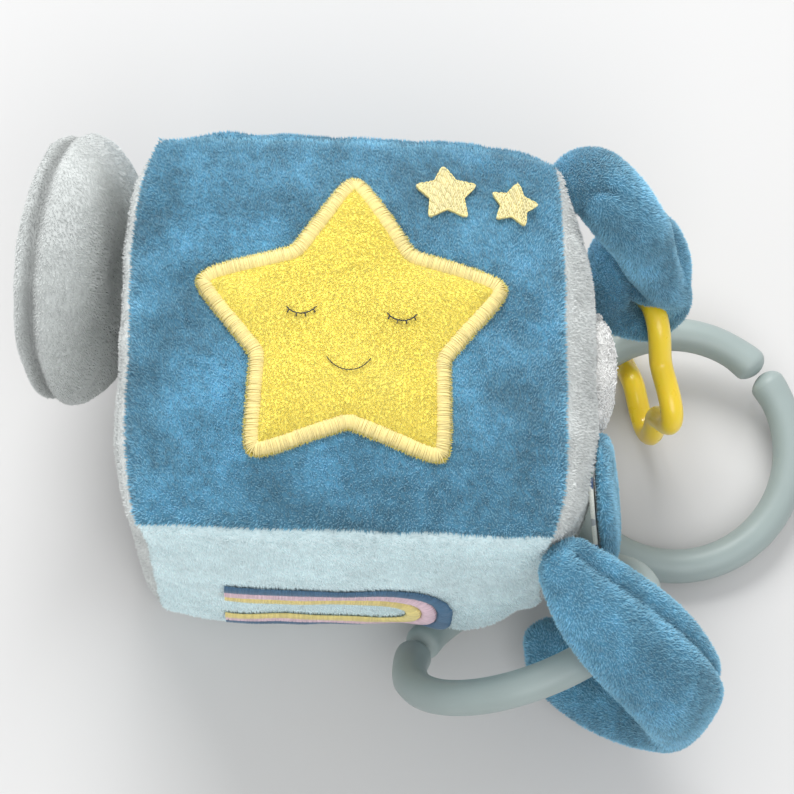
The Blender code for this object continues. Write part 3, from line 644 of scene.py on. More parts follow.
skin, cube, grids = skin_of_block()
on_seam = (np.abs(cube) > 0.999).sum(1) >= 2
under = (cube[:, 2] < -0.999) & (places(skin)[:, 2] < 0.5 * MM)
puff(skin, np.where(on_seam, 1.0, np.where(under, 1.0, 0.0)), 1.6 * MM)
skin_places = places(skin)
skin_places += np.stack([rough(skin_places, 13 * MM, k) for k in (81, 82, 83)], -1) * seam_wander
skin_normals = normals(skin)
put(skin, skin_places)
skin_tree = tree_of(skin)
bpy.data.objects.remove(skin)


def grid_faces(rows, columns, base=0):
    out = []
    for i in range(rows - 1):
        for j in range(columns - 1):
            a = base + i * columns + j
            out.append((a, a + columns, a + columns + 1, a + 1))
    return out


def panel(name, axis, side, comb, cloth, seed):
    """One panel of the skin, with a back to it, its seam allowance turned in and its pile."""
    grid = grids[(axis, side)]
    count = skin_steps + 1
    faces = grid_faces(count, count)
    if (side > 0) == (axis == 1):
        faces = [f[::-1] for f in faces]
    made = new_object(name, skin_places[grid.ravel()], faces)
    line = np.linspace(-1, 1, count)
    u, v = np.meshgrid(line, line, indexing="ij")
    set_floats(made, "u", u.ravel())
    set_floats(made, "v", v.ravel())
    set_vectors(made, "out", skin_normals[grid.ravel()])
    crease = made.data.attributes.new("crease_vert", "FLOAT", "POINT")
    corners = [0, count - 1, count * (count - 1), count * count - 1]
    for corner in corners:
        crease.data[corner].value = 1.0
    finer(made, 1)
    u = np.zeros(len(made.data.vertices))
    v = u.copy()
    made.data.attributes["u"].data.foreach_get("value", u)
    made.data.attributes["v"].data.foreach_get("value", v)
    co = places(made)
    out = np.zeros(len(co) * 3)
    made.data.attributes["out"].data.foreach_get("vector", out)
    out = unit_rows(out.reshape(-1, 3))
    gap = seam_distance(u, v)
    along = np.where(1 - np.abs(u) < 1 - np.abs(v), v, u) * half_depth
    edge = seam_depth * np.exp(-((gap / seam_width) ** 2))
    lump = lump_depth * rough(co, lump_size, seed) * np.minimum(1, gap / (10 * MM))
    waves = np.stack([along, np.full_like(along, seed * 0.01), gap * 0.35], -1)
    pucker = pucker_depth * rough(waves, pucker_length, seed + 9) * np.exp(-gap / pucker_reach)
    pucker = pucker * np.minimum(1, gap / (2 * MM))
    co = co + out * (lump + pucker - edge)[:, None]
    co[:, 2] = np.maximum(co[:, 2], 0)
    put(made, co)
    made.data.materials.append(cloth)
    made.data.materials.append(backing)
    way = np.array(comb, float)
    swirl = np.stack([rough(co, 30 * MM, seed + k) for k in (21, 22, 23)], -1) * 0.8
    near = np.maximum(0, 1 - gap / (3 * MM))
    at_seam, splay = (1.25, 1.5) if axis == 2 else (0.7, 0.3)
    set_floats(made, "pile", np.minimum(1 + (at_seam - 1) * near, 0.25 + co[:, 2] / (4 * MM)))
    splayed = unit_rows(co - co.mean(0)) * (splay * near)[:, None]
    set_vectors(made, "comb", way / np.linalg.norm(way) + swirl + splayed)
    thick = made.modifiers.new("thick", "SOLIDIFY")
    thick.thickness = skin_thickness
    thick.offset = -1
    thick.material_offset = 1
    thick.material_offset_rim = 1
    bake(made)
    made.data.shade_smooth()
    return made


pile_length = 0.85 * MM
pile_width = 0.20 * MM
PANELS = (
    ("top_panel", 2, 1, (-0.5, 0.8, 0), blue_plush, "plush_blue", 58000, 3),
    ("bottom_panel", 2, -1, (0.3, 1, 0), aqua_plush, "plush_aqua", 8000, 4),
    ("front_panel", 1, -1, (0.8, 0, 0.7), aqua_plush, "plush_aqua", 30000, 5),
    ("back_panel", 1, 1, (-0.4, 0, 0.9), blue_plush, "plush_blue", 22000, 6),
    ("left_panel", 0, -1, (0, 0.3, -1), shaded_grey_plush, "plush_grey", 20000, 7),
    ("right_panel", 0, 1, (0, -0.5, -1), grey_plush, "plush_grey", 28000, 8),
)
lay_trees = {}
for name, axis, side, comb, cloth, slot, tufts, seed in PANELS:
    made = panel(name + "_plush", axis, side, comb, cloth, seed)
    lay_trees[name] = tree_of(made)
    grow_pile(made, cloth, tufts, pile_length, pile_width, seed=seed)
    finish(made, [name], "block")


def on_top(x, y, rise=0.0):
    """A place on the top panel, and the way out of it there."""
    place, out, _, _ = lay_trees["top_panel"].ray_cast(Vector((x, y, 0.2)), Vector((0, 0, -1)))
    return place + out * rise, out


def on_front(x, z, rise=0.0):
    """A place on the front panel, and the way out of it there."""
    place, out, _, _ = lay_trees["front_panel"].ray_cast(Vector((x, -0.2, z)), Vector((0, 1, 0)))
    return place + out * rise, out


def on_right(y, z, rise=0.0):
    """A place on the right panel, and the way out of it there."""
    place, out, _, _ = lay_trees["right_panel"].ray_cast(Vector((0.2, y, z)), Vector((-1, 0, 0)))
    return place + out * rise, out


# The star.

star_centre = (-1.4 * MM, 0.2 * MM)
star_tip = 42.5 * MM
star_notch = 25.2 * MM
star_first = radians(90)
star_round_share = 0.945
border_width = 3.7 * MM
pad_low = 0.6 * MM
pad_edge = 1.1 * MM
pad_shoulder = 2.2 * MM
pad_crown = 2.6 * MM
pad_spread = 9 * MM
eye_radius = 4.6 * MM
smile_radius = 6.2 * MM
lash_length = 0.9 * MM


def star_reach(turn, tip, notch, first, round_share=star_round_share):
    """Distance from a star's middle to its rounded outline in one direction."""
    sector = 2 * pi / 5
    off = (turn - first) % sector
    off = min(off, sector - off)
    half = sector / 2
    edge = tip * notch * sin(half) / (tip * sin(off) + notch * sin(half - off))
    return (edge ** -26 + (round_share * tip) ** -26) ** (-1 / 26)


def unit(way):
    way = np.asarray(way, float)
    return way / np.linalg.norm(way)


def dense_star():
    """The star's outline as close points, and the way inwards at each, fanned out at the tips."""
    dense = []
    for i in range(1440):
        turn = 2 * pi * i / 1440
        reach = star_reach(turn, star_tip, star_notch, star_first)
        dense.append((star_centre[0] + reach * cos(turn), star_centre[1] + reach * sin(turn)))
    dense = np.array(dense)
    for _ in range(60):
        dense = (np.roll(dense, 1, 0) + dense * 2 + np.roll(dense, -1, 0)) / 4
    step = np.roll(dense, -1, 0) - np.roll(dense, 1, 0)
    side = np.stack([-step[:, 1], step[:, 0]], -1)
    for _ in range(160):
        side = (np.roll(side, 1, 0) + side * 2 + np.roll(side, -1, 0)) / 4
    return dense, unit_rows(side)


def spaced_pairs(outer, inner, count, closed=True):
    """The same number of even points along the middle of two lines that run side by side."""
    if closed:
        outer = np.vstack([outer, outer[:1]])
        inner = np.vstack([inner, inner[:1]])
    middle = (outer + inner) / 2
    walk = np.concatenate([[0], np.cumsum(np.linalg.norm(np.diff(middle, axis=0), axis=1))])
    spots = np.linspace(0, walk[-1], count, endpoint=not closed)
    return [np.stack([np.interp(spots, walk, line[:, k]) for k in (0, 1)], -1) for line in (outer, inner)]


star_outer, star_inward = dense_star()
star_inner = star_outer + star_inward * border_width


def edge_gap(x, y, line):
    return np.linalg.norm(line - np.array((x, y)), axis=1).min()


def star_pad():
    """The star's stuffed top, which rises from a groove along its satin edge to a soft crown."""
    steps = 150
    line, _ = spaced_pairs(star_outer + star_inward * border_width * 0.7, star_outer, steps)
    shares = [1.0, 0.995, 0.98, 0.955, 0.92, 0.88, 0.83, 0.76, 0.68, 0.58, 0.46, 0.33, 0.18, 0.0]
    middle = np.array(star_centre)
    verts = []
    for r, share in enumerate(shares):
        for point in line if share else [middle]:
            x, y = middle + (point - middle) * share
            gap = edge_gap(x, y, line)
            rise = pad_low
            if r:
                rise += pad_edge * min(1.0, gap / pad_shoulder) ** 0.5 + pad_crown * (1 - np.exp(-gap / pad_spread))
            verts.append(on_top(x, y, rise)[0])
    faces = []
    rings = len(shares) - 1
    for r in range(rings - 1):
        for i in range(steps):
            j = (i + 1) % steps
            faces.append((r * steps + i, r * steps + j, (r + 1) * steps + j, (r + 1) * steps + i))
    last = (rings - 1) * steps
    for i in range(steps):
        faces.append((last + i, last + (i + 1) % steps, rings * steps))
    made = new_object("star_plush", verts, faces)
    made.data.materials.append(yellow_plush)
    made.data.materials.append(backing)
    co = places(made)
    put(made, co + np.array((0, 0, 1)) * (0.35 * MM * rough(co, 12 * MM, 77))[:, None])
    swirl = np.stack([rough(co, 14 * MM, k) for k in (31, 32, 33)], -1) * 1.2
    set_vectors(made, "comb", np.array((0.1, -0.7, 0)) + swirl)
    thick = made.modifiers.new("thick", "SOLIDIFY")
    thick.thickness = 0.5 * MM
    thick.offset = -1
    thick.material_offset = 1
    thick.material_offset_rim = 1
    bake(made)
    made.data.shade_smooth()
    return made


star = star_pad()
star_tree = tree_of(star)
grow_pile(star, yellow_plush, 40000, 0.34 * MM, 0.20 * MM, 1.0, lean=0.6, wander=0.25, swirl=0.4,
          size=5, seed=14)


def fuzz_ring():
    """The raw edge of the star's plush, which shows outside its satin stitches."""
    outer, inner = spaced_pairs(star_outer - star_inward * 0.15 * MM, star_outer + star_inward * 0.8 * MM, 400)
    verts = [on_top(*p, 0.7 * MM)[0] for p in outer] + [on_top(*p, 0.9 * MM)[0] for p in inner]
    faces = [(i, (i + 1) % 400, 400 + (i + 1) % 400, 400 + i) for i in range(400)]
    made = new_object("star_raw_edge", verts, faces)
    made.data.materials.append(yellow_plush)
    made.data.materials.append(backing)
    way = np.vstack([-star_inward[np.linspace(0, 1439, 400).astype(int)]] * 2)
    set_vectors(made, "comb", np.column_stack([way, np.zeros(800)]))
    thick = made.modifiers.new("thick", "SOLIDIFY")
    thick.thickness = 0.4 * MM
    thick.offset = -1
    thick.material_offset = 1
    thick.material_offset_rim = 1
    bake(made)
    made.data.shade_smooth()
    return grow_pile(made, yellow_plush, 6000, 0.8 * MM, 0.13 * MM, rise=0.6, lean=1.1, seed=15)


def unite(name, parts):
    """One object from several, with each part's material and its numbers for pile and thread."""
    verts = []
    faces = []
    looks = []
    slots = []
    numbers = {"tip": [], "tuft_shade": []}
    for part in parts:
        mesh = part.data
        base = len(verts)
        verts += [v.co.copy() for v in mesh.vertices]
        for polygon in mesh.polygons:
            faces.append([base + i for i in polygon.vertices])
            look = mesh.materials[polygon.material_index]
            if look not in looks:
                looks.append(look)
            slots.append(looks.index(look))
        for key, values in numbers.items():
            found = mesh.attributes.get(key)
            row = np.zeros(len(mesh.vertices)) + (0.0 if key == "tip" else 0.5)
            if found and found.domain == "POINT":
                found.data.foreach_get("value", row)
            values.append(row)
        bpy.data.objects.remove(part)
    made = new_object(name, verts, faces)
    for look in looks:
        made.data.materials.append(look)
    made.data.polygons.foreach_set("material_index", slots)
    for key, values in numbers.items():
        set_floats(made, key, np.concatenate(values))
    return made


finish(unite("star_pad_plush", [star, fuzz_ring()]), ["star_patch"], "block")


def on_star(x, y, rise=0.0):
    place, out, _, _ = star_tree.ray_cast(Vector((x, y, 0.2)), Vector((0, 0, -1)))
    return place + out * rise, out


def stitches(name, ends, material, radius, arch, steps=6, sides=5):
    """Threads from a list of (place, place, way out), each one arched over the cloth."""
    verts = []
    lift = []
    for first, second, out in ends:
        verts += [first, second]
        lift += [out, out]
    mesh = bpy.data.meshes.new(name)
    mesh.from_pydata([tuple(v) for v in verts], [(2 * i, 2 * i + 1) for i in range(len(ends))], [])
    made = placed(name, mesh)
    set_vectors(made, "lift", lift)
    draw = np.random.default_rng(len(ends))
    set_floats(made, "tuft_shade", np.repeat(draw.random(len(ends)), 2))
    apply_tree(made, THREADS, Thread=radius, Arch=arch, Steps=steps, Sides=sides, Seed=1, Material=material)
    made.data.shade_smooth()
    return made


def padding(name, lay, outer, inner, low, arch, material, closed=True, across=8):
    """The solid underlay of a satin band, arched between its two edges."""
    count = len(outer)
    rows = []
    verts = []
    for a, b in zip(outer, inner):
        row = []
        for k in range(across + 1):
            t = k / across
            row.append(len(verts))
            verts.append(lay(*(a + (b - a) * t), low + arch * (4 * t * (1 - t)) ** 0.6)[0])
        row.append(len(verts))
        verts.append(lay(*((a + b) / 2), low - 0.3 * MM)[0])
        rows.append(row)
    faces = []
    wide = across + 2
    for i in range(count if closed else count - 1):
        low_row, high_row = rows[i], rows[(i + 1) % count]
        for k in range(wide):
            m = (k + 1) % wide
            faces.append((low_row[k], low_row[m], high_row[m], high_row[k]))
    if not closed:
        faces.append(rows[0][::-1])
        faces.append(rows[-1])
    made = new_object(name, verts, faces)
    made.data.materials.append(material)
    fix_normals(made)
    return made


def satin(name, lay, outer, inner, material, spacing, radius, low, arch, ragged, closed=True, seed=5):
    """A satin-stitched band: threads laid side by side across it over its underlay."""
    middle = (outer + inner) / 2
    length = np.linalg.norm(np.diff(np.vstack([middle, middle[:1]]) if closed else middle, axis=0), axis=1).sum()
    count = int(length / spacing)
    under = spaced_pairs(outer, inner, max(12, count // 5), closed)
    pad = padding(name + "_underlay", lay, *under, low, arch * 0.86, material, closed)
    draw = np.random.default_rng(seed)
    ends = []
    for a, b in zip(*spaced_pairs(outer, inner, count, closed)):
        way = (a - b) / np.linalg.norm(a - b)
        along = np.array((-way[1], way[0]))
        a = a + way * draw.uniform(-0.5, 1.0) * ragged + along * draw.normal(0, 0.3) * ragged
        b = b - way * draw.uniform(-0.5, 0.5) * ragged
        first, out = lay(*a, low)
        second, _ = lay(*b, low)
        ends.append((first, second, out))
    threads = stitches(name + "_threads", ends, material, radius, arch, 8)
    return unite(name, [pad, threads])


def fix_normals(obj):
    mesh = bmesh.new()
    mesh.from_mesh(obj.data)
    bmesh.ops.recalc_face_normals(mesh, faces=mesh.faces)
    mesh.to_mesh(obj.data)
    mesh.free()
    obj.data.shade_smooth()


border = satin("star_satin_edge", on_top, star_outer, star_inner, yellow_thread, 0.30 * MM, 0.17 * MM, 0.9 * MM,
               1.25 * MM, 0.35 * MM)
finish(border, ["star_border"], "block")

# The sleeping face: running stitches that the pile half swallows.


def arc_stitches(middle, radius, sweep, pieces, rise):
    """Short stitches end to end along the lower part of a circle."""
    points = []
    for i in range(pieces + 1):
        turn = radians(270) + sweep * (i / pieces - 0.5)
        points.append((middle[0] + radius * cos(turn), middle[1] + radius * sin(turn)))
    ends = []
    for a, b in zip(points, points[1:]):
        gap = (np.array(b) - np.array(a)) * 0.06
        first, out = on_star(a[0] + gap[0], a[1] + gap[1], rise)
        second, _ = on_star(b[0] - gap[0], b[1] - gap[1], rise)
        ends.append((first, second, out))
    return ends, points


def eye(name, node, offset):
    middle = (star_centre[0] + offset[0] * star_tip, star_centre[1] + offset[1] * star_tip + eye_radius * 0.72)
    ends, points = arc_stitches(middle, eye_radius, radians(104), 8, 0.55 * MM)
    for k in (1, 3, 5, 7):
        x, y = points[k]
        way = unit((x - middle[0], y - middle[1] - 1.5 * MM))
        first, out = on_star(x, y, 0.65 * MM)
        second, _ = on_star(x + way[0] * lash_length, y + way[1] * lash_length, 0.6 * MM)
        ends += [(first, second, out)]
    finish(stitches(name, ends, dark_thread, 0.17 * MM, 0.25 * MM), [node], "block")


eye("left_eye_stitches", "eye_left", (-0.285, 0.085))
eye("right_eye_stitches", "eye_right", (0.285, 0.055))
smile_middle = (star_centre[0] - 0.010 * star_tip, star_centre[1] - 0.125 * star_tip)
smile_ends, _ = arc_stitches(smile_middle, smile_radius, radians(118), 13, 0.42 * MM)
finish(stitches("smile_stitches", smile_ends, dark_thread, 0.13 * MM, 0.2 * MM), ["smile"], "block")

# The two small stars, filled with rows of short stitches inside a running outline.


def small_star(name, node, middle, tip, first, seed):
    line = []
    for i in range(300):
        turn = 2 * pi * i / 300
        reach = star_reach(turn, tip, tip * 0.52, first, 0.96)
        line.append((middle[0] + reach * cos(turn), middle[1] + reach * sin(turn)))
    line = np.array(line)
    verts = []
    for share, rise in ((1.0, 0.2), (0.985, 0.75), (0.9, 0.95), (0.5, 1.0)):
        for point in line[::5]:
            verts.append(on_top(*(np.array(middle) + (point - middle) * share), rise * MM)[0])
    faces = []
    for r in range(3):
        for i in range(60):
            j = (i + 1) % 60
            faces.append((r * 60 + i, r * 60 + j, (r + 1) * 60 + j, (r + 1) * 60 + i))
    faces.append(range(180, 240))
    faces.append(list(range(60))[::-1])
    base = new_object(name + "_underlay", verts, faces)
    base.data.materials.append(gold_thread)
    fix_normals(base)
    lean = radians(72)
    along = np.array((cos(lean), sin(lean)))
    over = np.array((-along[1], along[0]))
    draw = np.random.default_rng(seed)
    ends = []
    rel = line - middle
    q = rel @ over
    p = rel @ along
    row_gap = 0.40 * MM
    stitch = 1.9 * MM
    for k, level in enumerate(np.arange(q.min() + row_gap / 2, q.max(), row_gap)):
        cuts = []
        for i in range(300):
            j = (i + 1) % 300
            if (q[i] - level) * (q[j] - level) < 0:
                t = (level - q[i]) / (q[j] - q[i])
                cuts.append(p[i] + (p[j] - p[i]) * t)
        cuts.sort()
        for low, high in zip(cuts[::2], cuts[1::2]):
            start = low
            stop = low + stitch * ((k * 0.37) % 1 * 0.8 + 0.3)
            while start < high - 0.2 * MM:
                stop = min(stop, high)
                ends.append((start, stop, level + draw.normal(0, 0.03 * MM)))
                start = stop + 0.14 * MM
                stop = start + stitch
    laid = []
    for start, stop, level in ends:
        first_place, out = on_top(*(np.array(middle) + along * start + over * level), 0.95 * MM)
        second_place, _ = on_top(*(np.array(middle) + along * stop + over * level), 0.95 * MM)
        laid.append((first_place, second_place, out))
    fill = stitches(name + "_fill", laid, small_thread, 0.19 * MM, 0.32 * MM)
    outline = []
    count = int(tip * 6.2 / (1.15 * MM))
    for i in range(count):
        a = line[int(300 * i / count)]
        b = line[int(300 * (i + 0.86) / count) % 300]
        first_place, out = on_top(*a, 1.05 * MM)
        second_place, _ = on_top(*b, 1.05 * MM)
        outline.append((first_place, second_place, out))
    edge = stitches(name + "_outline", outline, gold_thread, 0.17 * MM, 0.25 * MM)
    finish(unite(name, [base, fill, edge]), [node], "block")


small_star("left_small_star", "small_star_left", (0.416 * half_width, 0.728 * half_depth), 8.3 * MM, radians(94), 7)
small_star("right_small_star", "small_star_right", (0.746 * half_width, 0.694 * half_depth), 6.3 * MM, radians(80), 8)

# The rainbow, lying on its side across the front panel.

arch_x = 0.19 * half_width
arch_z = 38.48 * MM
rainbow_leg = 40 * MM
rainbow_inner = 7.0 * MM
rainbow_band = 3.8 * MM
rainbow_gap = 0.3 * MM


def arch_line(radius):
    points = [(arch_x - rainbow_leg * (1 - i / 30), arch_z + radius) for i in range(30)]
    points += [(arch_x + radius * sin(pi * i / 40), arch_z + radius * cos(pi * i / 40)) for i in range(41)]
    points += [(arch_x - rainbow_leg * (i / 30), arch_z - radius) for i in range(1, 31)]
    return np.array(points)


for k, (colour, look) in enumerate((("yellow", gold_thread), ("pink", pink_thread), ("blue", navy_thread))):
    inner_radius = rainbow_inner + k * (rainbow_band + rainbow_gap)
    outer_line = arch_line(inner_radius + rainbow_band)
    inner_line = arch_line(inner_radius)
    band = satin("rainbow_" + colour + "_stitches", on_front, outer_line, inner_line, look, 0.36 * MM, 0.19 * MM,
                 0.75 * MM, 0.8 * MM, 0.25 * MM, False, 40 + k)
    finish(band, ["rainbow_" + colour], "block")

# Soft rolls: the ear, and the two straps at the right corners.


def smooth_line(points, steps):
    """Points along a rounded line through the given rows of numbers."""
    rows = np.array(points, float)
    ends = np.vstack([rows[0] * 2 - rows[1], rows, rows[-1] * 2 - rows[-2]])
    out = []
    for i in range(len(rows) - 1):
        a, b, c, d = ends[i:i + 4]
        for s in range(steps):
            t = s / steps
            square, cube_part = a * 2 - b * 5 + c * 4 - d, b * 3 - a - c * 3 + d
            out.append(0.5 * (b * 2 + (c - a) * t + square * t * t + cube_part * t ** 3))
    out.append(rows[-1])
    return np.array(out)


def roll(name, rows, across, sides=30, fullness=2.3):
    """A stuffed roll along rows of x, y, z, half width and half thickness, rounded off at both ends."""
    line = rows[:, :3]
    verts = []
    faces = []
    rings = []
    count = len(rows)
    across = np.broadcast_to(np.asarray(across, float), (count, 3))
    for i in range(count):
        along = unit(line[min(i + 1, count - 1)] - line[max(i - 1, 0)])
        side = unit(across[i] - along * np.dot(along, across[i]))
        up = np.cross(along, side)
        rounds = [(0.0, 1.0)]
        if i == 0:
            rounds = [(-0.8, 0.25), (-0.72, 0.5), (-0.55, 0.72), (-0.3, 0.9), (0.0, 1.0)]
        if i == count - 1:
            rounds = [(0.0, 1.0), (0.3, 0.9), (0.55, 0.72), (0.72, 0.5), (0.8, 0.25)]
        for shift, share in rounds:
            middle = line[i] + along * shift * rows[i, 4]
            ring = []
            for s in range(sides):
                turn = 2 * pi * s / sides
                c, d = cos(turn), sin(turn)
                reach = (abs(c) ** fullness + abs(d) ** fullness) ** (-1 / fullness)
                ring.append(len(verts))
                verts.append(middle + (side * rows[i, 3] * c + up * rows[i, 4] * d) * reach * share)
            rings.append(ring)
    for low, high in zip(rings, rings[1:]):
        for s in range(sides):
            t = (s + 1) % sides
            faces.append((low[s], low[t], high[t], high[s]))
    faces.append(rings[0][::-1])
    faces.append(rings[-1])
    made = new_object(name, verts, faces)
    fix_normals(made)
    return made


def joined(name, parts):
    """One object from several closed ones, still overlapping."""
    verts = []
    faces = []
    for part in parts:
        base = len(verts)
        verts += [v.co.copy() for v in part.data.vertices]
        faces += [[base + i for i in p.vertices] for p in part.data.polygons]
        bpy.data.objects.remove(part)
    return new_object(name, verts, faces)


def melted(obj, size, softening=4):
    """Overlapping rolls made one closed skin, with the creases between them kept."""
    net = obj.modifiers.new("net", "REMESH")
    net.mode = "VOXEL"
    net.voxel_size = size
    soft = obj.modifiers.new("soft", "SMOOTH")
    soft.factor = 0.5
    soft.iterations = softening
    bake(obj)
    obj.data.shade_smooth()
    return obj


def press(obj, line, depth, width):
    """Press a crease into a skin along a line of points."""
    co = places(obj)
    out = normals(obj)
    path = smooth_line(line, 8)
    gap = np.linalg.norm(co[:, None] - path[None], axis=2).min(1)
    put(obj, co - out * (depth * np.exp(-((gap / width) ** 2)))[:, None])


def rumple(obj, size, depth, seed):
    co = places(obj)
    put(obj, co + normals(obj) * (depth * rough(co, size, seed))[:, None])


def comb_along(obj, line, seed, way=1.0, loose=0.8):
    """Comb the pile along a line, with swirls."""
    co = places(obj)
    step = np.gradient(line, axis=0)
    step /= np.linalg.norm(step, axis=1)[:, None]
    near = np.linalg.norm(co[:, None] - line[None], axis=2).argmin(1)
    swirl = np.stack([rough(co, 22 * MM, seed + k) for k in (1, 2, 3)], -1) * loose
    set_vectors(obj, "comb", step[near] * way + swirl)


# The ear.

ear_facing = unit((0.95, -0.14, 0.27))
ear_seam_shift = 4.0 * MM
ear_middle = np.array((-70.05, 30.0, 55.5)) * MM - ear_facing * ear_seam_shift
ear_up = unit(np.array((0, 0, 1)) - ear_facing * ear_facing[2])
ear_across = np.cross(ear_up, ear_facing)
ear_radius = 36 * MM
ear_outer_height = 8 * MM
ear_inner_height = 13 * MM
ear_lean = 2.5 * MM
ear_upper_swell = 0.45


def ear_pillow():
    """Two round domes sewn together at the rim."""
    steps = 72
    shares = [1.0, 0.992, 0.975, 0.95, 0.91, 0.86, 0.79, 0.70, 0.60, 0.48, 0.34, 0.18]
    verts = []
    rows = []
    for side in (1, -1):
        high = ear_inner_height if side > 0 else ear_outer_height
        for share in shares if side > 0 else shares[1:]:
            row = []
            for s in range(steps):
                turn = 2 * pi * s / steps
                upper = max(0.0, sin(turn) - 0.3 * cos(turn))
                if side > 0:
                    dome = high * max(0.0, 1 - share ** 4) ** 0.5
                    dome *= (1 - 0.3 * (1 - share) ** 2) * (1 + ear_upper_swell * upper * share)
                else:
                    dome = high * sqrt(max(0.0, 1 - share ** 2.4))
                lean = ear_lean * (share * upper) ** 1.5
                row.append(len(verts))
                verts.append(ear_middle + (ear_across * cos(turn) + ear_up * sin(turn)) * ear_radius * share
                             + ear_facing * (side * dome + lean))
            rows.append((side, row))
    tops = {}
    for side in (1, -1):
        high = ear_inner_height * 0.7 if side > 0 else ear_outer_height
        tops[side] = len(verts)
        verts.append(ear_middle + ear_facing * side * high)
    faces = []
    for side in (1, -1):
        chain = [rows[0][1]] + [row for kind, row in rows[1:] if kind == side]
        for low, high in zip(chain, chain[1:]):
            for s in range(steps):
                t = (s + 1) % steps
                faces.append((low[s], low[t], high[t], high[s]))
        for s in range(steps):
            faces.append((chain[-1][s], chain[-1][(s + 1) % steps], tops[side]))
    made = new_object("ear_plush", verts, faces)
    fix_normals(made)
    held = np.zeros(len(verts))
    held[:steps] = 1.0
    puff(made, held, 2.0 * MM)
    finer(made, 1)
    co = places(made)
    out = normals(made)
    flat = co - ear_middle
    high = flat @ ear_facing
    rim = np.linalg.norm(flat - np.outer(high, ear_facing), axis=1)
    turn = np.arctan2(flat @ ear_up, flat @ ear_across)
    seam_high = ear_lean * np.maximum(0, rim / ear_radius * (np.sin(turn) - 0.3 * np.cos(turn))) ** 1.5
    gap = np.hypot(np.maximum(0, ear_radius + 0.5 * MM - rim), high - seam_high)
    waves = np.stack([np.cos(turn) * ear_radius, np.sin(turn) * ear_radius, gap * 0.3 + high * 0.1], -1)
    pucker = 0.7 * MM * rough(waves, 8 * MM, 3) * np.exp(-gap / (12 * MM))
    lump = 0.9 * MM * rough(co, 24 * MM, 5)
    groove = 3.4 * MM * np.exp(-((gap / (2.2 * MM)) ** 2))
    # painted shade along the groove of the rim seam
    set_floats(made, "crease", 0.75 * np.exp(-((gap / (2.0 * MM)) ** 2)))
    set_floats(made, "pile", 0.6 + 0.4 * np.minimum(1, gap / (3 * MM)))
    put(made, co + out * (pucker + lump)[:, None] - unit_rows(flat - np.outer(high, ear_facing)) * groove[:, None])
    made.data.materials.append(shaded_grey_plush)
    co = places(made)
    swirl = np.stack([rough(co, 26 * MM, k) for k in (41, 42, 43)], -1) * 0.8
    set_vectors(made, "comb", np.array((0.2, -0.9, -0.4)) + swirl)
    return made


ear = ear_pillow()
ear_tree = tree_of(ear)
grow_pile(ear, shaded_grey_plush, 50000, 0.65 * MM, 0.22 * MM, rise=0.8, lean=0.75, wander=0.3, swirl=0.6,
          size=5, seed=31)
finish(ear, ["ear_outer_panel", "ear_inner_panel"], "ear")

# The strap at the back corner: an arm that comes over the seam and is looped round the teether.

hold_place = np.array((80.64, 26.73, 49.62)) * MM
hold_axis = unit((-0.2637, 0.9521, -0.1545))
hold_out = unit((-0.0348, 0.1508, 0.9879))
hold_side = np.cross(hold_axis, hold_out)


def round_hold(turn, reach, slip, wide, thin):
    """A row of the strap's path at a turn about the teether's limb, in degrees and millimetres."""
    t = radians(turn)
    place = hold_place + (hold_axis * slip + hold_side * reach * cos(t) + hold_out * reach * sin(t)) * MM
    return (*place, wide * MM, thin * MM)


knot_rows = [tuple(value * MM for value in row) for row in (
    (52.5, 46.0, 85.5, 6.0, 5.0), (56.8, 48.0, 87.5, 7.6, 6.2), (61.5, 46.9, 87.0, 8.7, 7.4),
    (67.0, 42.0, 83.0, 8.8, 7.6), (72.0, 38.2, 77.5, 8.3, 7.4), (75.6, 35.1, 71.0, 7.4, 6.6),
    (78.6, 32.6, 65.0, 6.4, 5.4), (82.5, 30.6, 58.5, 5.6, 4.2))]
knot_across = [(0, 1, 0), (0.1, 1, 0), (0.35, 0.9, 0), (0.6, 0.8, 0.1), (0.7, 0.7, 0.15), (0.7, 0.7, 0.15),
               (0.6, 0.8, 0.15), (0.2, 0.95, 0)]
wrap_rows = [
    round_hold(5, 7.2, 4.0, 5.8, 3.9), round_hold(-40, 7.3, 2.5, 5.6, 3.9), round_hold(-90, 7.8, 1.0, 5.2, 3.9),
    round_hold(-135, 9.0, 3.5, 6.6, 4.5), round_hold(-170, 10.2, 7.0, 8.0, 5.0),
    round_hold(158, 11.4, 9.5, 8.6, 5.2),
    round_hold(136, 13.6, 12.0, 7.6, 4.8), round_hold(122, 16.0, 13.5, 5.8, 4.0)]
knot_line = smooth_line(knot_rows + wrap_rows, 8)
knot_wide = smooth_line(knot_across + [tuple(hold_axis)] * len(wrap_rows), 8)
knot = roll("knot_main", knot_line, knot_wide)
bump = roll("knot_bump", smooth_line([tuple(v * MM for v in row) for row in (
    (77.0, 45.0, 66.0, 4.0, 4.0), (81.0, 42.5, 62.5, 5.0, 4.8), (83.6, 38.2, 58.5, 5.2, 5.0),
    (84.6, 33.7, 54.5, 5.0, 4.8),
    (84.6, 30.2, 51.0, 4.8, 4.4), (83.6, 28.2, 48.5, 4.0, 3.6))], 5), (0.7, 0.7, 0.15))
lip = roll("knot_lip", smooth_line([tuple(v * MM for v in row) for row in (
    (70.5, 36.5, 55.0, 3.4, 3.0), (74.5, 34.2, 53.5, 4.6, 3.8), (78.5, 31.6, 54.0, 4.8, 3.8),
    (82.5, 29.5, 56.0, 3.8, 3.4))], 5), hold_axis)
knot = melted(joined("knotted_strap_plush", [knot, bump, lip]), 0.75 * MM, 4)
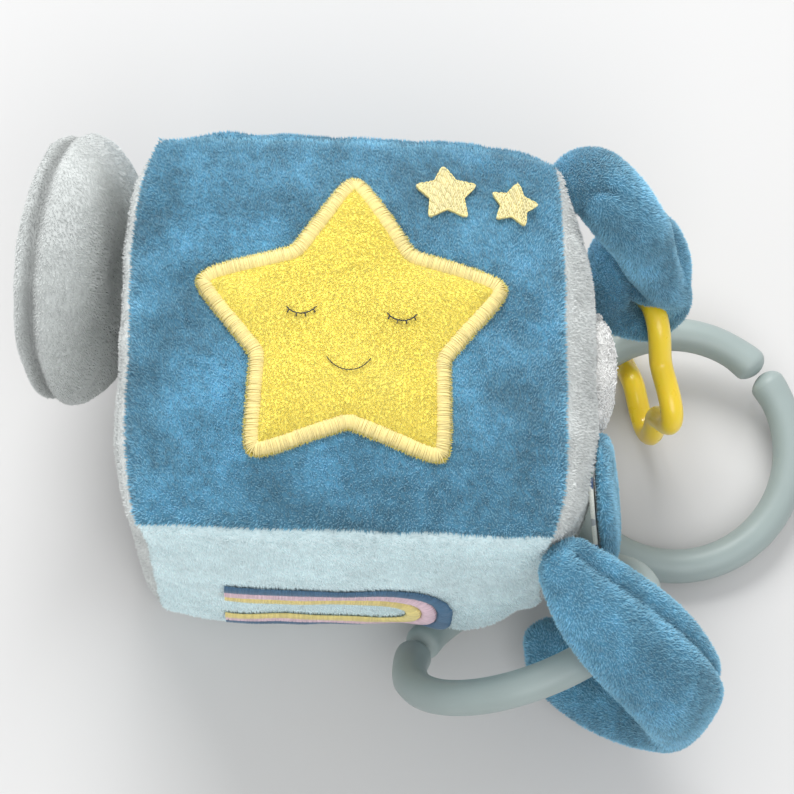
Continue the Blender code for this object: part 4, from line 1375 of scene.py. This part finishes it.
for crease_width, fold in ((1.8 * MM, ((78, 44, 72), (80, 39, 69.5), (81.5, 34.5, 64))),
                           (1.6 * MM, ((58, 42, 94), (62, 43, 94), (67, 42.5, 90)))):
    press(knot, [tuple(value * MM for value in place) for place in fold], 1.6 * MM, crease_width)
rumple(knot, 11 * MM, 0.7 * MM, 6)
comb_along(knot, knot_line[:, :3], 51)
knot.data.materials.append(strap_plush)
grow_pile(knot, strap_plush, 34000, pile_length, pile_width, seed=33)
finish(knot, ["knotted_strap"], "strap")

# The strap at the front corner: a wide stuffed loop.

loop_reach = 50 * MM
loop_shares = (
    (0.024, -0.040, 0.81), (0.214, -0.190, 0.66), (0.449, -0.340, 0.45), (0.653, -0.480, 0.22), (0.755, -0.560, -0.04),
    (0.714, -0.600, -0.31), (0.561, -0.550, -0.54), (0.357, -0.430, -0.69), (0.184, -0.270, -0.76),
    (0.092, -0.110, -0.76))
loop_widths = (7.2, 11.8, 13.8, 13.6, 11.8, 10.2, 9.8, 9.6, 8.6, 5.8)
loop_thins = (4.6, 6.8, 8.2, 8.6, 7.8, 6.8, 6.2, 5.6, 5.0, 4.2)
loop_slips = (0, 0.8, 1.4, 1.4, 1.0, 0.0, -0.8, -0.8, 0, 0)
loop_rows = []
for (out_share, along_share, up_share), wide, thin, slip in zip(loop_shares, loop_widths, loop_thins, loop_slips):
    loop_rows.append((half_width + loop_reach * out_share - 0.58 * slip * MM,
                      -half_depth + loop_reach * along_share - 0.81 * slip * MM,
                      middle_height + half_height * up_share, wide * MM, thin * MM))
loop_way = np.array(loop_rows[4][:2]) - np.array(loop_rows[0][:2])
loop_across = unit((-loop_way[1], loop_way[0], 0))
loop_line = smooth_line(loop_rows, 7)
loop = roll("loop_strap_plush", loop_line, loop_across, 40, 2.2)
finer(loop, 1)
loop_seam = []
for i, turn in zip(range(0, 36, 5), (62, 58, 54, 50, 45, 38, 28, 15)):
    along = unit(loop_line[i + 1, :3] - loop_line[max(i - 1, 0), :3])
    side = unit(loop_across - along * np.dot(along, loop_across))
    up = np.cross(along, side)
    up *= np.sign(up[2])
    wide, thin = loop_line[i, 3:]
    loop_seam.append(loop_line[i, :3] + side * wide * cos(radians(turn)) + up * thin * sin(radians(turn)))
seam_path = smooth_line(loop_seam, 8)
seam_gap = np.linalg.norm(places(loop)[:, None] - seam_path[None], axis=2).min(1)
# painted shade along the groove of the pressed seam
set_floats(loop, "crease", 0.45 * np.exp(-((seam_gap / (1.3 * MM)) ** 2)))
press(loop, loop_seam, 2.4 * MM, 2.4 * MM)
rumple(loop, 17 * MM, 0.9 * MM, 8)
comb_along(loop, loop_line[:, :3], 61)
loop.data.materials.append(strap_plush)
grow_pile(loop, strap_plush, 42000, pile_length, pile_width, seed=34)
finish(loop, ["loop_strap"], "loop")

# The fleece cloud on the right panel.


def curl_tree():
    """Small woolly curls strewn over a pad, turned every way."""
    tree, given, out = new_tree("curls", [
        ("Curls per area", "NodeSocketFloat"), ("Curl", "NodeSocketFloat"), ("Thread", "NodeSocketFloat"),
        ("Seed", "NodeSocketInt"), ("Material", "NodeSocketMaterial")])
    link = tree.links.new
    scatter = tree.nodes.new("GeometryNodeDistributePointsOnFaces")
    link(given["Mesh"], scatter.inputs["Mesh"])
    link(given["Curls per area"], scatter.inputs["Density"])
    link(given["Seed"], scatter.inputs["Seed"])
    spiral = tree.nodes.new("GeometryNodeCurveSpiral")
    spiral.inputs["Resolution"].default_value = 7
    spiral.inputs["Rotations"].default_value = 1.3
    link(given["Curl"], spiral.inputs["Start Radius"])
    link(math_node(tree, "MULTIPLY", given["Curl"], 0.45), spiral.inputs["End Radius"])
    link(math_node(tree, "MULTIPLY", given["Curl"], 1.2), spiral.inputs["Height"])
    ring = tree.nodes.new("GeometryNodeCurvePrimitiveCircle")
    ring.inputs["Resolution"].default_value = 3
    link(given["Thread"], ring.inputs["Radius"])
    tube = tree.nodes.new("GeometryNodeCurveToMesh")
    link(spiral.outputs[0], tube.inputs["Curve"])
    link(ring.outputs[0], tube.inputs["Profile Curve"])
    tube.inputs["Fill Caps"].default_value = True
    turn = tree.nodes.new("FunctionNodeEulerToRotation")
    link(scaled(tree, random_vector(tree, given["Seed"]), pi), turn.inputs[0])
    plant = tree.nodes.new("GeometryNodeInstanceOnPoints")
    link(scatter.outputs["Points"], plant.inputs["Points"])
    link(tube.outputs[0], plant.inputs["Instance"])
    link(turn.outputs[0], plant.inputs["Rotation"])
    link(random_float(tree, 0.6, 1.2, given["Seed"]), plant.inputs["Scale"])
    shaded = store(tree, plant.outputs["Instances"], "tuft_shade", random_float(tree, 0, 1, given["Seed"]), "INSTANCE")
    real = tree.nodes.new("GeometryNodeRealizeInstances")
    link(shaded, real.inputs["Geometry"])
    both = tree.nodes.new("GeometryNodeJoinGeometry")
    link(real.outputs[0], both.inputs[0])
    link(given["Mesh"], both.inputs[0])
    dress = tree.nodes.new("GeometryNodeSetMaterial")
    link(both.outputs[0], dress.inputs["Geometry"])
    link(given["Material"], dress.inputs["Material"])
    link(dress.outputs[0], out[0])
    return tree


CURLS = curl_tree()
cloud_middle = np.array((4.0, 63.44)) * MM
cloud_radius = 13.8 * MM
cloud_rings = ((1.0, 0.2), (1.0, 1.6), (0.95, 2.4), (0.85, 3.2), (0.65, 4.2), (0.4, 4.8), (0.18, 5.0))
verts = []
for share, rise in cloud_rings:
    for i in range(72):
        turn = 2 * pi * i / 72
        reach = cloud_radius * (1 + 0.11 * cos(6 * turn)) * share
        y, z = cloud_middle + np.array((cos(turn), sin(turn))) * reach
        verts.append(on_right(y, z, rise * MM)[0])
faces = []
for r in range(len(cloud_rings) - 1):
    for i in range(72):
        j = (i + 1) % 72
        faces.append((r * 72 + i, r * 72 + j, (r + 1) * 72 + j, (r + 1) * 72 + i))
faces.append(range(72 * (len(cloud_rings) - 1), 72 * len(cloud_rings)))
faces.append(list(range(72))[::-1])
cloud = new_object("cloud_fleece", verts, faces)
fix_normals(cloud)
rumple(cloud, 3 * MM, 0.6 * MM, 12)
cloud.data.materials.append(white_fleece)
cloud_area = sum(p.area for p in cloud.data.polygons)
apply_tree(cloud, CURLS, Curls_per_area=3400 / cloud_area, Curl=0.65 * MM, Thread=0.18 * MM, Seed=9,
           Material=white_fleece)
finish(cloud, ["cloud_patch"], "block")

# The ear's sewn foot.

neck_middle = np.array((-58.83, 28.58, 17.26)) * MM
neck_way = unit((0.10497, 0.99447, 0.00284))
neck_rows = [(*(neck_middle + neck_way * t * MM), 3.5 * MM, 3.5 * MM) for t in np.linspace(-12.5, 12.5, 12)]
neck = roll("ear_foot_plush", np.array(neck_rows), np.array((1.0, 0, 0)), 20)
comb_along(neck, np.array(neck_rows)[:, :3], 71)
neck.data.materials.append(shaded_grey_plush)
grow_pile(neck, shaded_grey_plush, 3500, 1.0 * MM, 0.2 * MM, seed=35)
finish(neck, ["ear_neck"], "block")

# How close the lining's spots lie, how big they are and their colours.
lining_spots = ((170, 0.34, (0.38, 0.55, 0.42)), (230, 0.26, (0.42, 0.45, 0.46)), (130, 0.24, (0.05, 0.10, 0.22)))

# The flap: stuffed plush, with a printed lining towards the block and crackling film between.

flap_top = np.array((59.16, -23.5, 79.28)) * MM
flap_down = unit((0.18, -0.24, -0.95))
flap_out = unit(np.array((1.0, 0, 0)) - flap_down * flap_down[0])
flap_across = np.cross(flap_out, flap_down)
flap_length = 43 * MM
flap_half_width = 13.8 * MM


def flap_skin(name, layers, grow, bow):
    """A closed oval layer of the flap: layers is its share of the outline and its height, ring by ring."""
    verts = []
    for share, rise in layers:
        for i in range(64):
            turn = 2 * pi * i / 64
            p = flap_length / 2 + (flap_length / 2 + grow) * share * cos(turn)
            q = (flap_half_width + grow) * share * sin(turn)
            lift = rise * MM + bow * ((p - flap_length * 0.4) / flap_length) ** 2
            verts.append(flap_top + flap_down * p + flap_across * q + flap_out * lift)
    faces = []
    for r in range(len(layers) - 1):
        for i in range(64):
            j = (i + 1) % 64
            faces.append((r * 64 + i, r * 64 + j, (r + 1) * 64 + j, (r + 1) * 64 + i))
    faces.append(range(64 * (len(layers) - 1), 64 * len(layers)))
    faces.append(list(range(64))[::-1])
    made = new_object(name, verts, faces)
    fix_normals(made)
    return made


flap_pad = flap_skin("flap_plush_pad", (
    (0.25, 2.5), (0.6, 2.5), (0.86, 2.4), (0.97, 2.5), (1.0, 3.2), (0.98, 4.2), (0.93, 4.9), (0.85, 5.4), (0.7, 5.8),
    (0.45, 6.1), (0.2, 6.2)), 0.6 * MM, 0)
rumple(flap_pad, 10 * MM, 0.5 * MM, 14)
comb_along(flap_pad, np.array([flap_top + flap_down * flap_length * t for t in (0, 0.5, 1)]), 75)
flap_pad.data.materials.append(blue_plush)
grow_pile(flap_pad, blue_plush, 11000, pile_length, pile_width, seed=36)
finish(flap_pad, ["flap_plush"], "flap")


def print_cloth():
    """A pale woven lining with a loose generic print of round spots in green, grey and navy."""
    made, main = shader("printed_lining", 0.8, 0.1)
    tree = made.node_tree
    coords = tree.nodes.new("ShaderNodeTexCoord").outputs["Object"]
    colour = (0.78, 0.80, 0.72)
    for scale, limit, ink in lining_spots:
        spots = wire(tree, "ShaderNodeTexVoronoi", Vector=coords, Scale=scale, Randomness=0.8)
        edge = stretch(tree, spots.outputs["Distance"], limit, limit + 0.04, 1.0, 0.0)
        colour = blend_colours(tree, edge, colour, ink)
    weave = wire(tree, "ShaderNodeTexNoise", Vector=coords, Scale=2600, Detail=1.0).outputs["Fac"]
    shade = blend_colours(tree, stretch(tree, weave, 0.3, 0.7, 0.0, 1.0), (0.86, 0.86, 0.86), (1.05, 1.05, 1.05))
    tree.links.new(blend_colours(tree, 1.0, colour, shade, "MULTIPLY"), main.inputs["Base Color"])
    roughen(tree, main, weave, 0.4, 0.0002)
    return made


printed_lining = print_cloth()
lining = flap_skin("flap_lining_cloth", ((1.0, 0.0), (1.0, 1.15)), 0.6 * MM, 0)
lining.data.materials.append(printed_lining)
finish(lining, ["flap_lining"], "flap")

# The link rings and the star teether.

ring_radius = 32.8 * MM
ring_tube = 4.6 * MM
ring_split = radians(1.6)


def tube(name, line, radii, material, closed, ups=None, ridge=0.0, sides=24):
    """A round moulded rod along a line, with an optional fine parting ridge all along both its sides."""
    count = len(line)
    verts = []
    rows = []
    for i in range(count):
        before = line[i - 1] if closed or i else line[i]
        after = line[(i + 1) % count] if closed or i < count - 1 else line[i]
        along = unit(after - before)
        up = unit(ups - along * np.dot(ups, along))
        side = np.cross(up, along)
        row = []
        for s in range(sides):
            turn = 2 * pi * s / sides
            off = min(abs(sin(turn)), 1.0)
            reach = radii[i] + ridge * np.exp(-((off / 0.16) ** 2)) * min(1.0, radii[i] / ring_tube)
            row.append(len(verts))
            verts.append(line[i] + (side * cos(turn) + up * sin(turn)) * reach)
        rows.append(row)
    faces = []
    for i in range(count if closed else count - 1):
        low, high = rows[i], rows[(i + 1) % count]
        for s in range(sides):
            t = (s + 1) % sides
            faces.append((low[s], low[t], high[t], high[s]))
    if not closed:
        faces.append(rows[0][::-1])
        faces.append(rows[-1])
    made = new_object(name, verts, faces)
    fix_normals(made)
    made.data.materials.append(material)
    return made


def link_ring(name, node, body, centre, facing, first):
    """A split link: its two ends are rounded off and a little thicker than the rest."""
    centre = np.array(centre) * MM
    facing = unit(facing)
    start = unit(np.array(first) - facing * np.dot(first, facing))
    other = np.cross(facing, start)
    line = []
    radii = []
    turns = list(np.linspace(ring_split / 2, 2 * pi - ring_split / 2, 181))
    extra = [0.0, 0.002, 0.006, 0.013, 0.024, 0.04, 0.062, 0.09]
    turns = sorted(turns + [ring_split / 2 + e for e in extra[1:]] + [2 * pi - ring_split / 2 - e for e in extra[1:]])
    for turn in turns:
        end = min(turn, 2 * pi - turn) - ring_split / 2
        back = end * ring_radius
        bulge = 1 + 0.07 * np.exp(-((back - 4 * MM) / (3.5 * MM)) ** 2)
        cap = sqrt(max(0.02, 1 - max(0.0, 1 - back / (3.4 * MM)) ** 2))
        line.append(centre + (start * cos(turn) + other * sin(turn)) * ring_radius)
        radii.append(ring_tube * bulge * cap)
    made = tube(name, line, radii, ring_plastic, False, facing, 0.16 * MM)
    return finish(made, [node], body)


link_ring("side_link_ring", "side_ring", "side_link", (92.1, -0.6, 9.12), (0, -0.1288, 0.99167),
          (cos(radians(43)), sin(radians(43)), 0))
link_ring("front_link_ring", "front_ring", "front_link", (48.6, -58.5, 33.06), (-0.400, 0.759, 0.514),
          (cos(radians(150)), sin(radians(150)), 0))

teether_near = unit((0.267, -0.964, 0.0))
teether_middle = np.array((80.68, 22.8, 25.64)) * MM + teether_near * 1.0 * MM
teether_up = np.array((sin(radians(2.5)), 0, cos(radians(2.5))))
teether_side = unit(np.cross(teether_near, teether_up))
teether_up = np.cross(teether_side, teether_near)
teether_line = []
for i in range(144):
    turn = 2 * pi * i / 144
    reach = (21.5 + 3.5 * cos(5 * (turn - radians(27)))) * MM
    teether_line.append(teether_middle + (teether_near * cos(turn) + teether_up * sin(turn)) * reach)
teether = tube("star_teether_rod", teether_line, [3.1 * MM] * 144, teether_plastic, True, teether_side, 0.10 * MM, 20)
finish(teether, ["star_teether"], "teether")

# Out of sight: the filling, drawn anew under its covers, and the film and the rattle, which stay as packed.

fibre = plush("filling_fibre", (0.85, 0.85, 0.84), (0.75, 0.75, 0.74), 0.2, 0.08)


def clear_film():
    made, main = shader("crackling_film", 0.15)
    tree = made.node_tree
    main.inputs["Transmission Weight"].default_value = 0.9
    crinkle = noise_at(tree, 260, 3.0, 0.6)
    tree.links.new(blend_colours(tree, crinkle, (0.90, 0.92, 0.93), (0.97, 0.98, 0.98)), main.inputs["Base Color"])
    roughen(tree, main, crinkle, 0.6, 0.0006)
    return made


def filling(name, node, body, cover, depth):
    """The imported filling, drawn in wherever its cover has drawn in, with a rough fibre surface."""
    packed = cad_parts[node]
    mesh = bmesh.new()
    mesh.from_mesh(packed.data)
    bmesh.ops.transform(mesh, matrix=packed.matrix_world, verts=mesh.verts)
    bmesh.ops.remove_doubles(mesh, verts=mesh.verts, dist=0.01 * MM)
    long = [edge for edge in mesh.edges if edge.calc_length() > 4 * MM]
    bmesh.ops.subdivide_edges(mesh, edges=long, cuts=1, use_grid_fill=True)
    bmesh.ops.triangulate(mesh, faces=mesh.faces)
    for vert in mesh.verts:
        place, out, _, _ = cover.find_nearest(vert.co)
        if (place - vert.co).dot(out) < depth:
            vert.co = place - out * depth
    data = bpy.data.meshes.new(name)
    mesh.to_mesh(data)
    mesh.free()
    made = placed(name, data)
    made.data.materials.append(fibre)
    return finish(made, [node], body)


filling("fibre_filling_upper", "wadding_upper", "block", skin_tree, 4.4 * MM)
filling("fibre_filling_lower", "wadding_lower", "block", skin_tree, 4.4 * MM)
filling("ear_fibre_filling", "ear_wadding", "ear", ear_tree, 1.6 * MM)

film = clear_film()
for node, look in (("flap_film", film),
                   ("rattle_shell_upper", case_plastic), ("rattle_shell_lower", case_plastic),
                   ("rattle_bead_1", bead_plastic), ("rattle_bead_2", bead_plastic), ("rattle_bead_3", bead_plastic)):
    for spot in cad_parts[node].material_slots:
        spot.material = look

# Camera, floor and light.

CAMERA_PLACE = (-14.854 * MM, -189.184 * MM, 679.789 * MM)
CAMERA_TURN = (0.290, -0.050, 0.022)
FOCAL_PIXELS = 2500
PICTURE_PIXELS = 794

camera_data = bpy.data.cameras.new("camera")
camera_data.sensor_width = 36
camera_data.lens = FOCAL_PIXELS / PICTURE_PIXELS * 36
camera_data.clip_start = 0.01
camera = bpy.data.objects.new("camera", camera_data)
camera.location = CAMERA_PLACE
camera.rotation_euler = CAMERA_TURN
bpy.context.scene.collection.objects.link(camera)
bpy.context.scene.camera = camera


def floor():
    size = 3.0
    made = new_object("floor", [(-size, -size, 0), (size, -size, 0), (size, size, 0), (-size, size, 0)], [(0, 1, 2, 3)])
    paint, main = shader("floor_paper", 0.9)
    main.inputs["Base Color"].default_value = (0.625, 0.62, 0.615, 1)
    made.data.materials.append(paint)
    put(made, places(made) - np.array((0, 0, 0.2 * MM)))


floor()


def lamp(name, place, target, size, power):
    data = bpy.data.lights.new(name, "AREA")
    data.shape = "DISK"
    data.size = size
    data.energy = power
    made = bpy.data.objects.new(name, data)
    made.location = place
    made.rotation_euler = (Vector(target) - Vector(place)).to_track_quat("-Z", "Y").to_euler()
    bpy.context.scene.collection.objects.link(made)


lamp("window", (-0.22, 1.00, 1.00), (0, 0, 0.04), 0.8, 18)
lamp("fill", (0.2, -0.9, 1.3), (0, 0, 0.04), 1.2, 9)

world = bpy.data.worlds.new("room")
bpy.context.scene.world = world
world.use_nodes = True
tree = world.node_tree
sky = tree.nodes["Background"]
sky.inputs["Color"].default_value = (0.97, 0.985, 1.0, 1)
sky.inputs["Strength"].default_value = 0.66
paper = wire(tree, "ShaderNodeBackground", Color=(0.93, 0.93, 0.935, 1), Strength=1.0)
path = tree.nodes.new("ShaderNodeLightPath")
either = math_node(tree, "MAXIMUM", path.outputs["Is Camera Ray"], path.outputs["Is Transmission Ray"])
pick = tree.nodes.new("ShaderNodeMixShader")
tree.links.new(either, pick.inputs[0])
tree.links.new(sky.outputs[0], pick.inputs[1])
tree.links.new(paper.outputs[0], pick.inputs[2])
tree.links.new(pick.outputs[0], tree.nodes["World Output"].inputs[0])

bpy.context.scene.view_settings.view_transform = "Standard"
